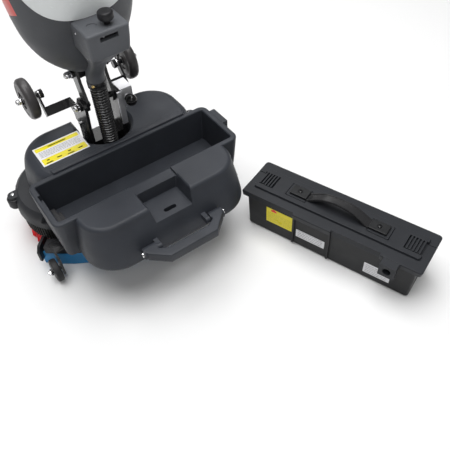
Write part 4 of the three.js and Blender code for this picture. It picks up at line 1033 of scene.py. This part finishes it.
def on_pack(x, y, z):
    """A point given along and across the pack, in the machine's millimetres."""
    return tuple(PACK_AT + pack_across * x + pack_along * y + Vector((0, 0, z)))


def pack_place(thing):
    """Turns a piece drawn along X into the pack's place on the floor."""
    thing.data.transform(Matrix.Translation(PACK_AT) @ Matrix.Rotation(pack_turn, 4, "Z"))
    return thing


pack_black = moulded("pack_black", (0.008, 0.0085, 0.0095), 0.46, grain=0.45, grain_size=0.8, drift=0.15)
pack_lid_grey = moulded("pack_lid_grey", (0.0125, 0.014, 0.0175), 0.5, grain=0.5, grain_size=0.7, drift=0.1)
cell_wrap = moulded("cell_wrap", (0.02, 0.08, 0.24), 0.3, grain=0.1, grain_size=3, drift=0.1)
strap_rubber = moulded("strap_rubber", (0.016, 0.016, 0.017), 0.24, grain=0.2, grain_size=1.4, drift=0.2,
                       specular=0.6)
eased("pack_case", pack_black, 0.8, 2)
eased("cell_block", cell_wrap, 1)
eased("pack_lid", pack_lid_grey, 1.0, 3)
for side, _ in SIDES:
    eased(f"pack_latch_{side}", pack_lid_grey, 0.9, 3)

# Strap: a flat moulded band with raised edges, arched between its two pads.
strap_line = flowing([(-66.0, 101.6), (-60, 103.5), (-46, 112), (-28, 120), (0, 123.4), (28, 120),
                      (46, 112), (60, 103.5), (66.0, 101.6)], 6)
section = [(-12, 0), (12, 0), (12, 3.2), (11, 4.4), (8.6, 4.4), (7.8, 3.4), (-7.8, 3.4), (-8.6, 4.4),
           (-11, 4.4), (-12, 3.2)]


def draw_strap(drawing):
    rings = []
    for i, (x, z) in enumerate(strap_line):
        ahead = strap_line[min(i + 1, len(strap_line) - 1)]
        behind = strap_line[max(i - 1, 0)]
        slope = Vector((ahead[0] - behind[0], ahead[1] - behind[1])).normalized()
        narrow = 0.82 + 0.18 * min(1, abs(x) / 60) ** 2
        rings.append([drawing.verts.new((x - slope.y * h, 2 + w * narrow, z + slope.x * h))
                      for w, h in section])
    skin(drawing, rings)


strap = pack_place(sketch(draw_strap))
fit(strap, "carrying_strap", strap_rubber, "pack", "strap", "pack_strap")
for side, sign in SIDES:
    seat = stacked([(z, rounded(sign * 89 - 22 + g, sign * 89 + 22 - g, -15.4 + g, 19.4 - g, 2.5, 4))
                            for z, g in ((101.4, 0), (103.2, 0), (103.8, 0.6))])
    fit(pack_place(seat), f"strap_seat_{side}", pack_lid_grey, "pack", "cover_plastic")
    pad = stacked([(z, rounded(sign * 86 - 19 + g, sign * 86 + 19 - g, -10.5 + g, 14.5 - g, 2, 5))
                          for z, g in ((103.7, 0), (107.6, 0), (108.6, 0.5), (109, 1.4))])
    dimple = turned([(5, 107.4), (5, 112)], (sign * 86, 2, 0), sides=32)
    carve(pad, cuts=(dimple,))
    fit(pack_place(pad), f"strap_pad_{side}", pack_black, "pack", "strap")
    fasten(f"strap_screw_{side}", pan_head, 4, [(on_pack(sign * 86, 2, 107.5), UP)], "pack", enamel)

# Printed films on the case's near side, which leans out by 2 mm in its height.
def side_label(name, x0, x1, z0, z1, patches):
    lean = 0.025
    corner = on_pack(x0, -43.04 - lean * (z0 - 4), z0)
    return sticker(name, corner, pack_across, Vector(UP) - lean * pack_along, patches, "pack")


notice = [(label_yellow, 0, 61, 0, 43), (label_red, 11, 24, 35, 40), (label_red, 14.5, 20.5, 40, 42.4)]
notice += small_print(print_rng, 4, 57, [30 - 3.6 * k for k in range(8)], 0.7, label_ochre)
side_label("pack_notice", -137, -76, 34, 77, notice)
for name, x0, x1, z0, z1 in (("pack_maker_film", -66, -1, 28, 50), ("pack_rating_film", 86, 141, 18, 48)):
    lines = [(label_white, 0, x1 - x0, 0, z1 - z0)]
    rows = [3.4 + 5.2 * k for k in range(int((z1 - z0) / 5.2))]
    lines += small_print(print_rng, 4, x1 - x0 - 5, rows, 1.0, label_ink)
    side_label(name, x0, x1, z0, z1, lines)
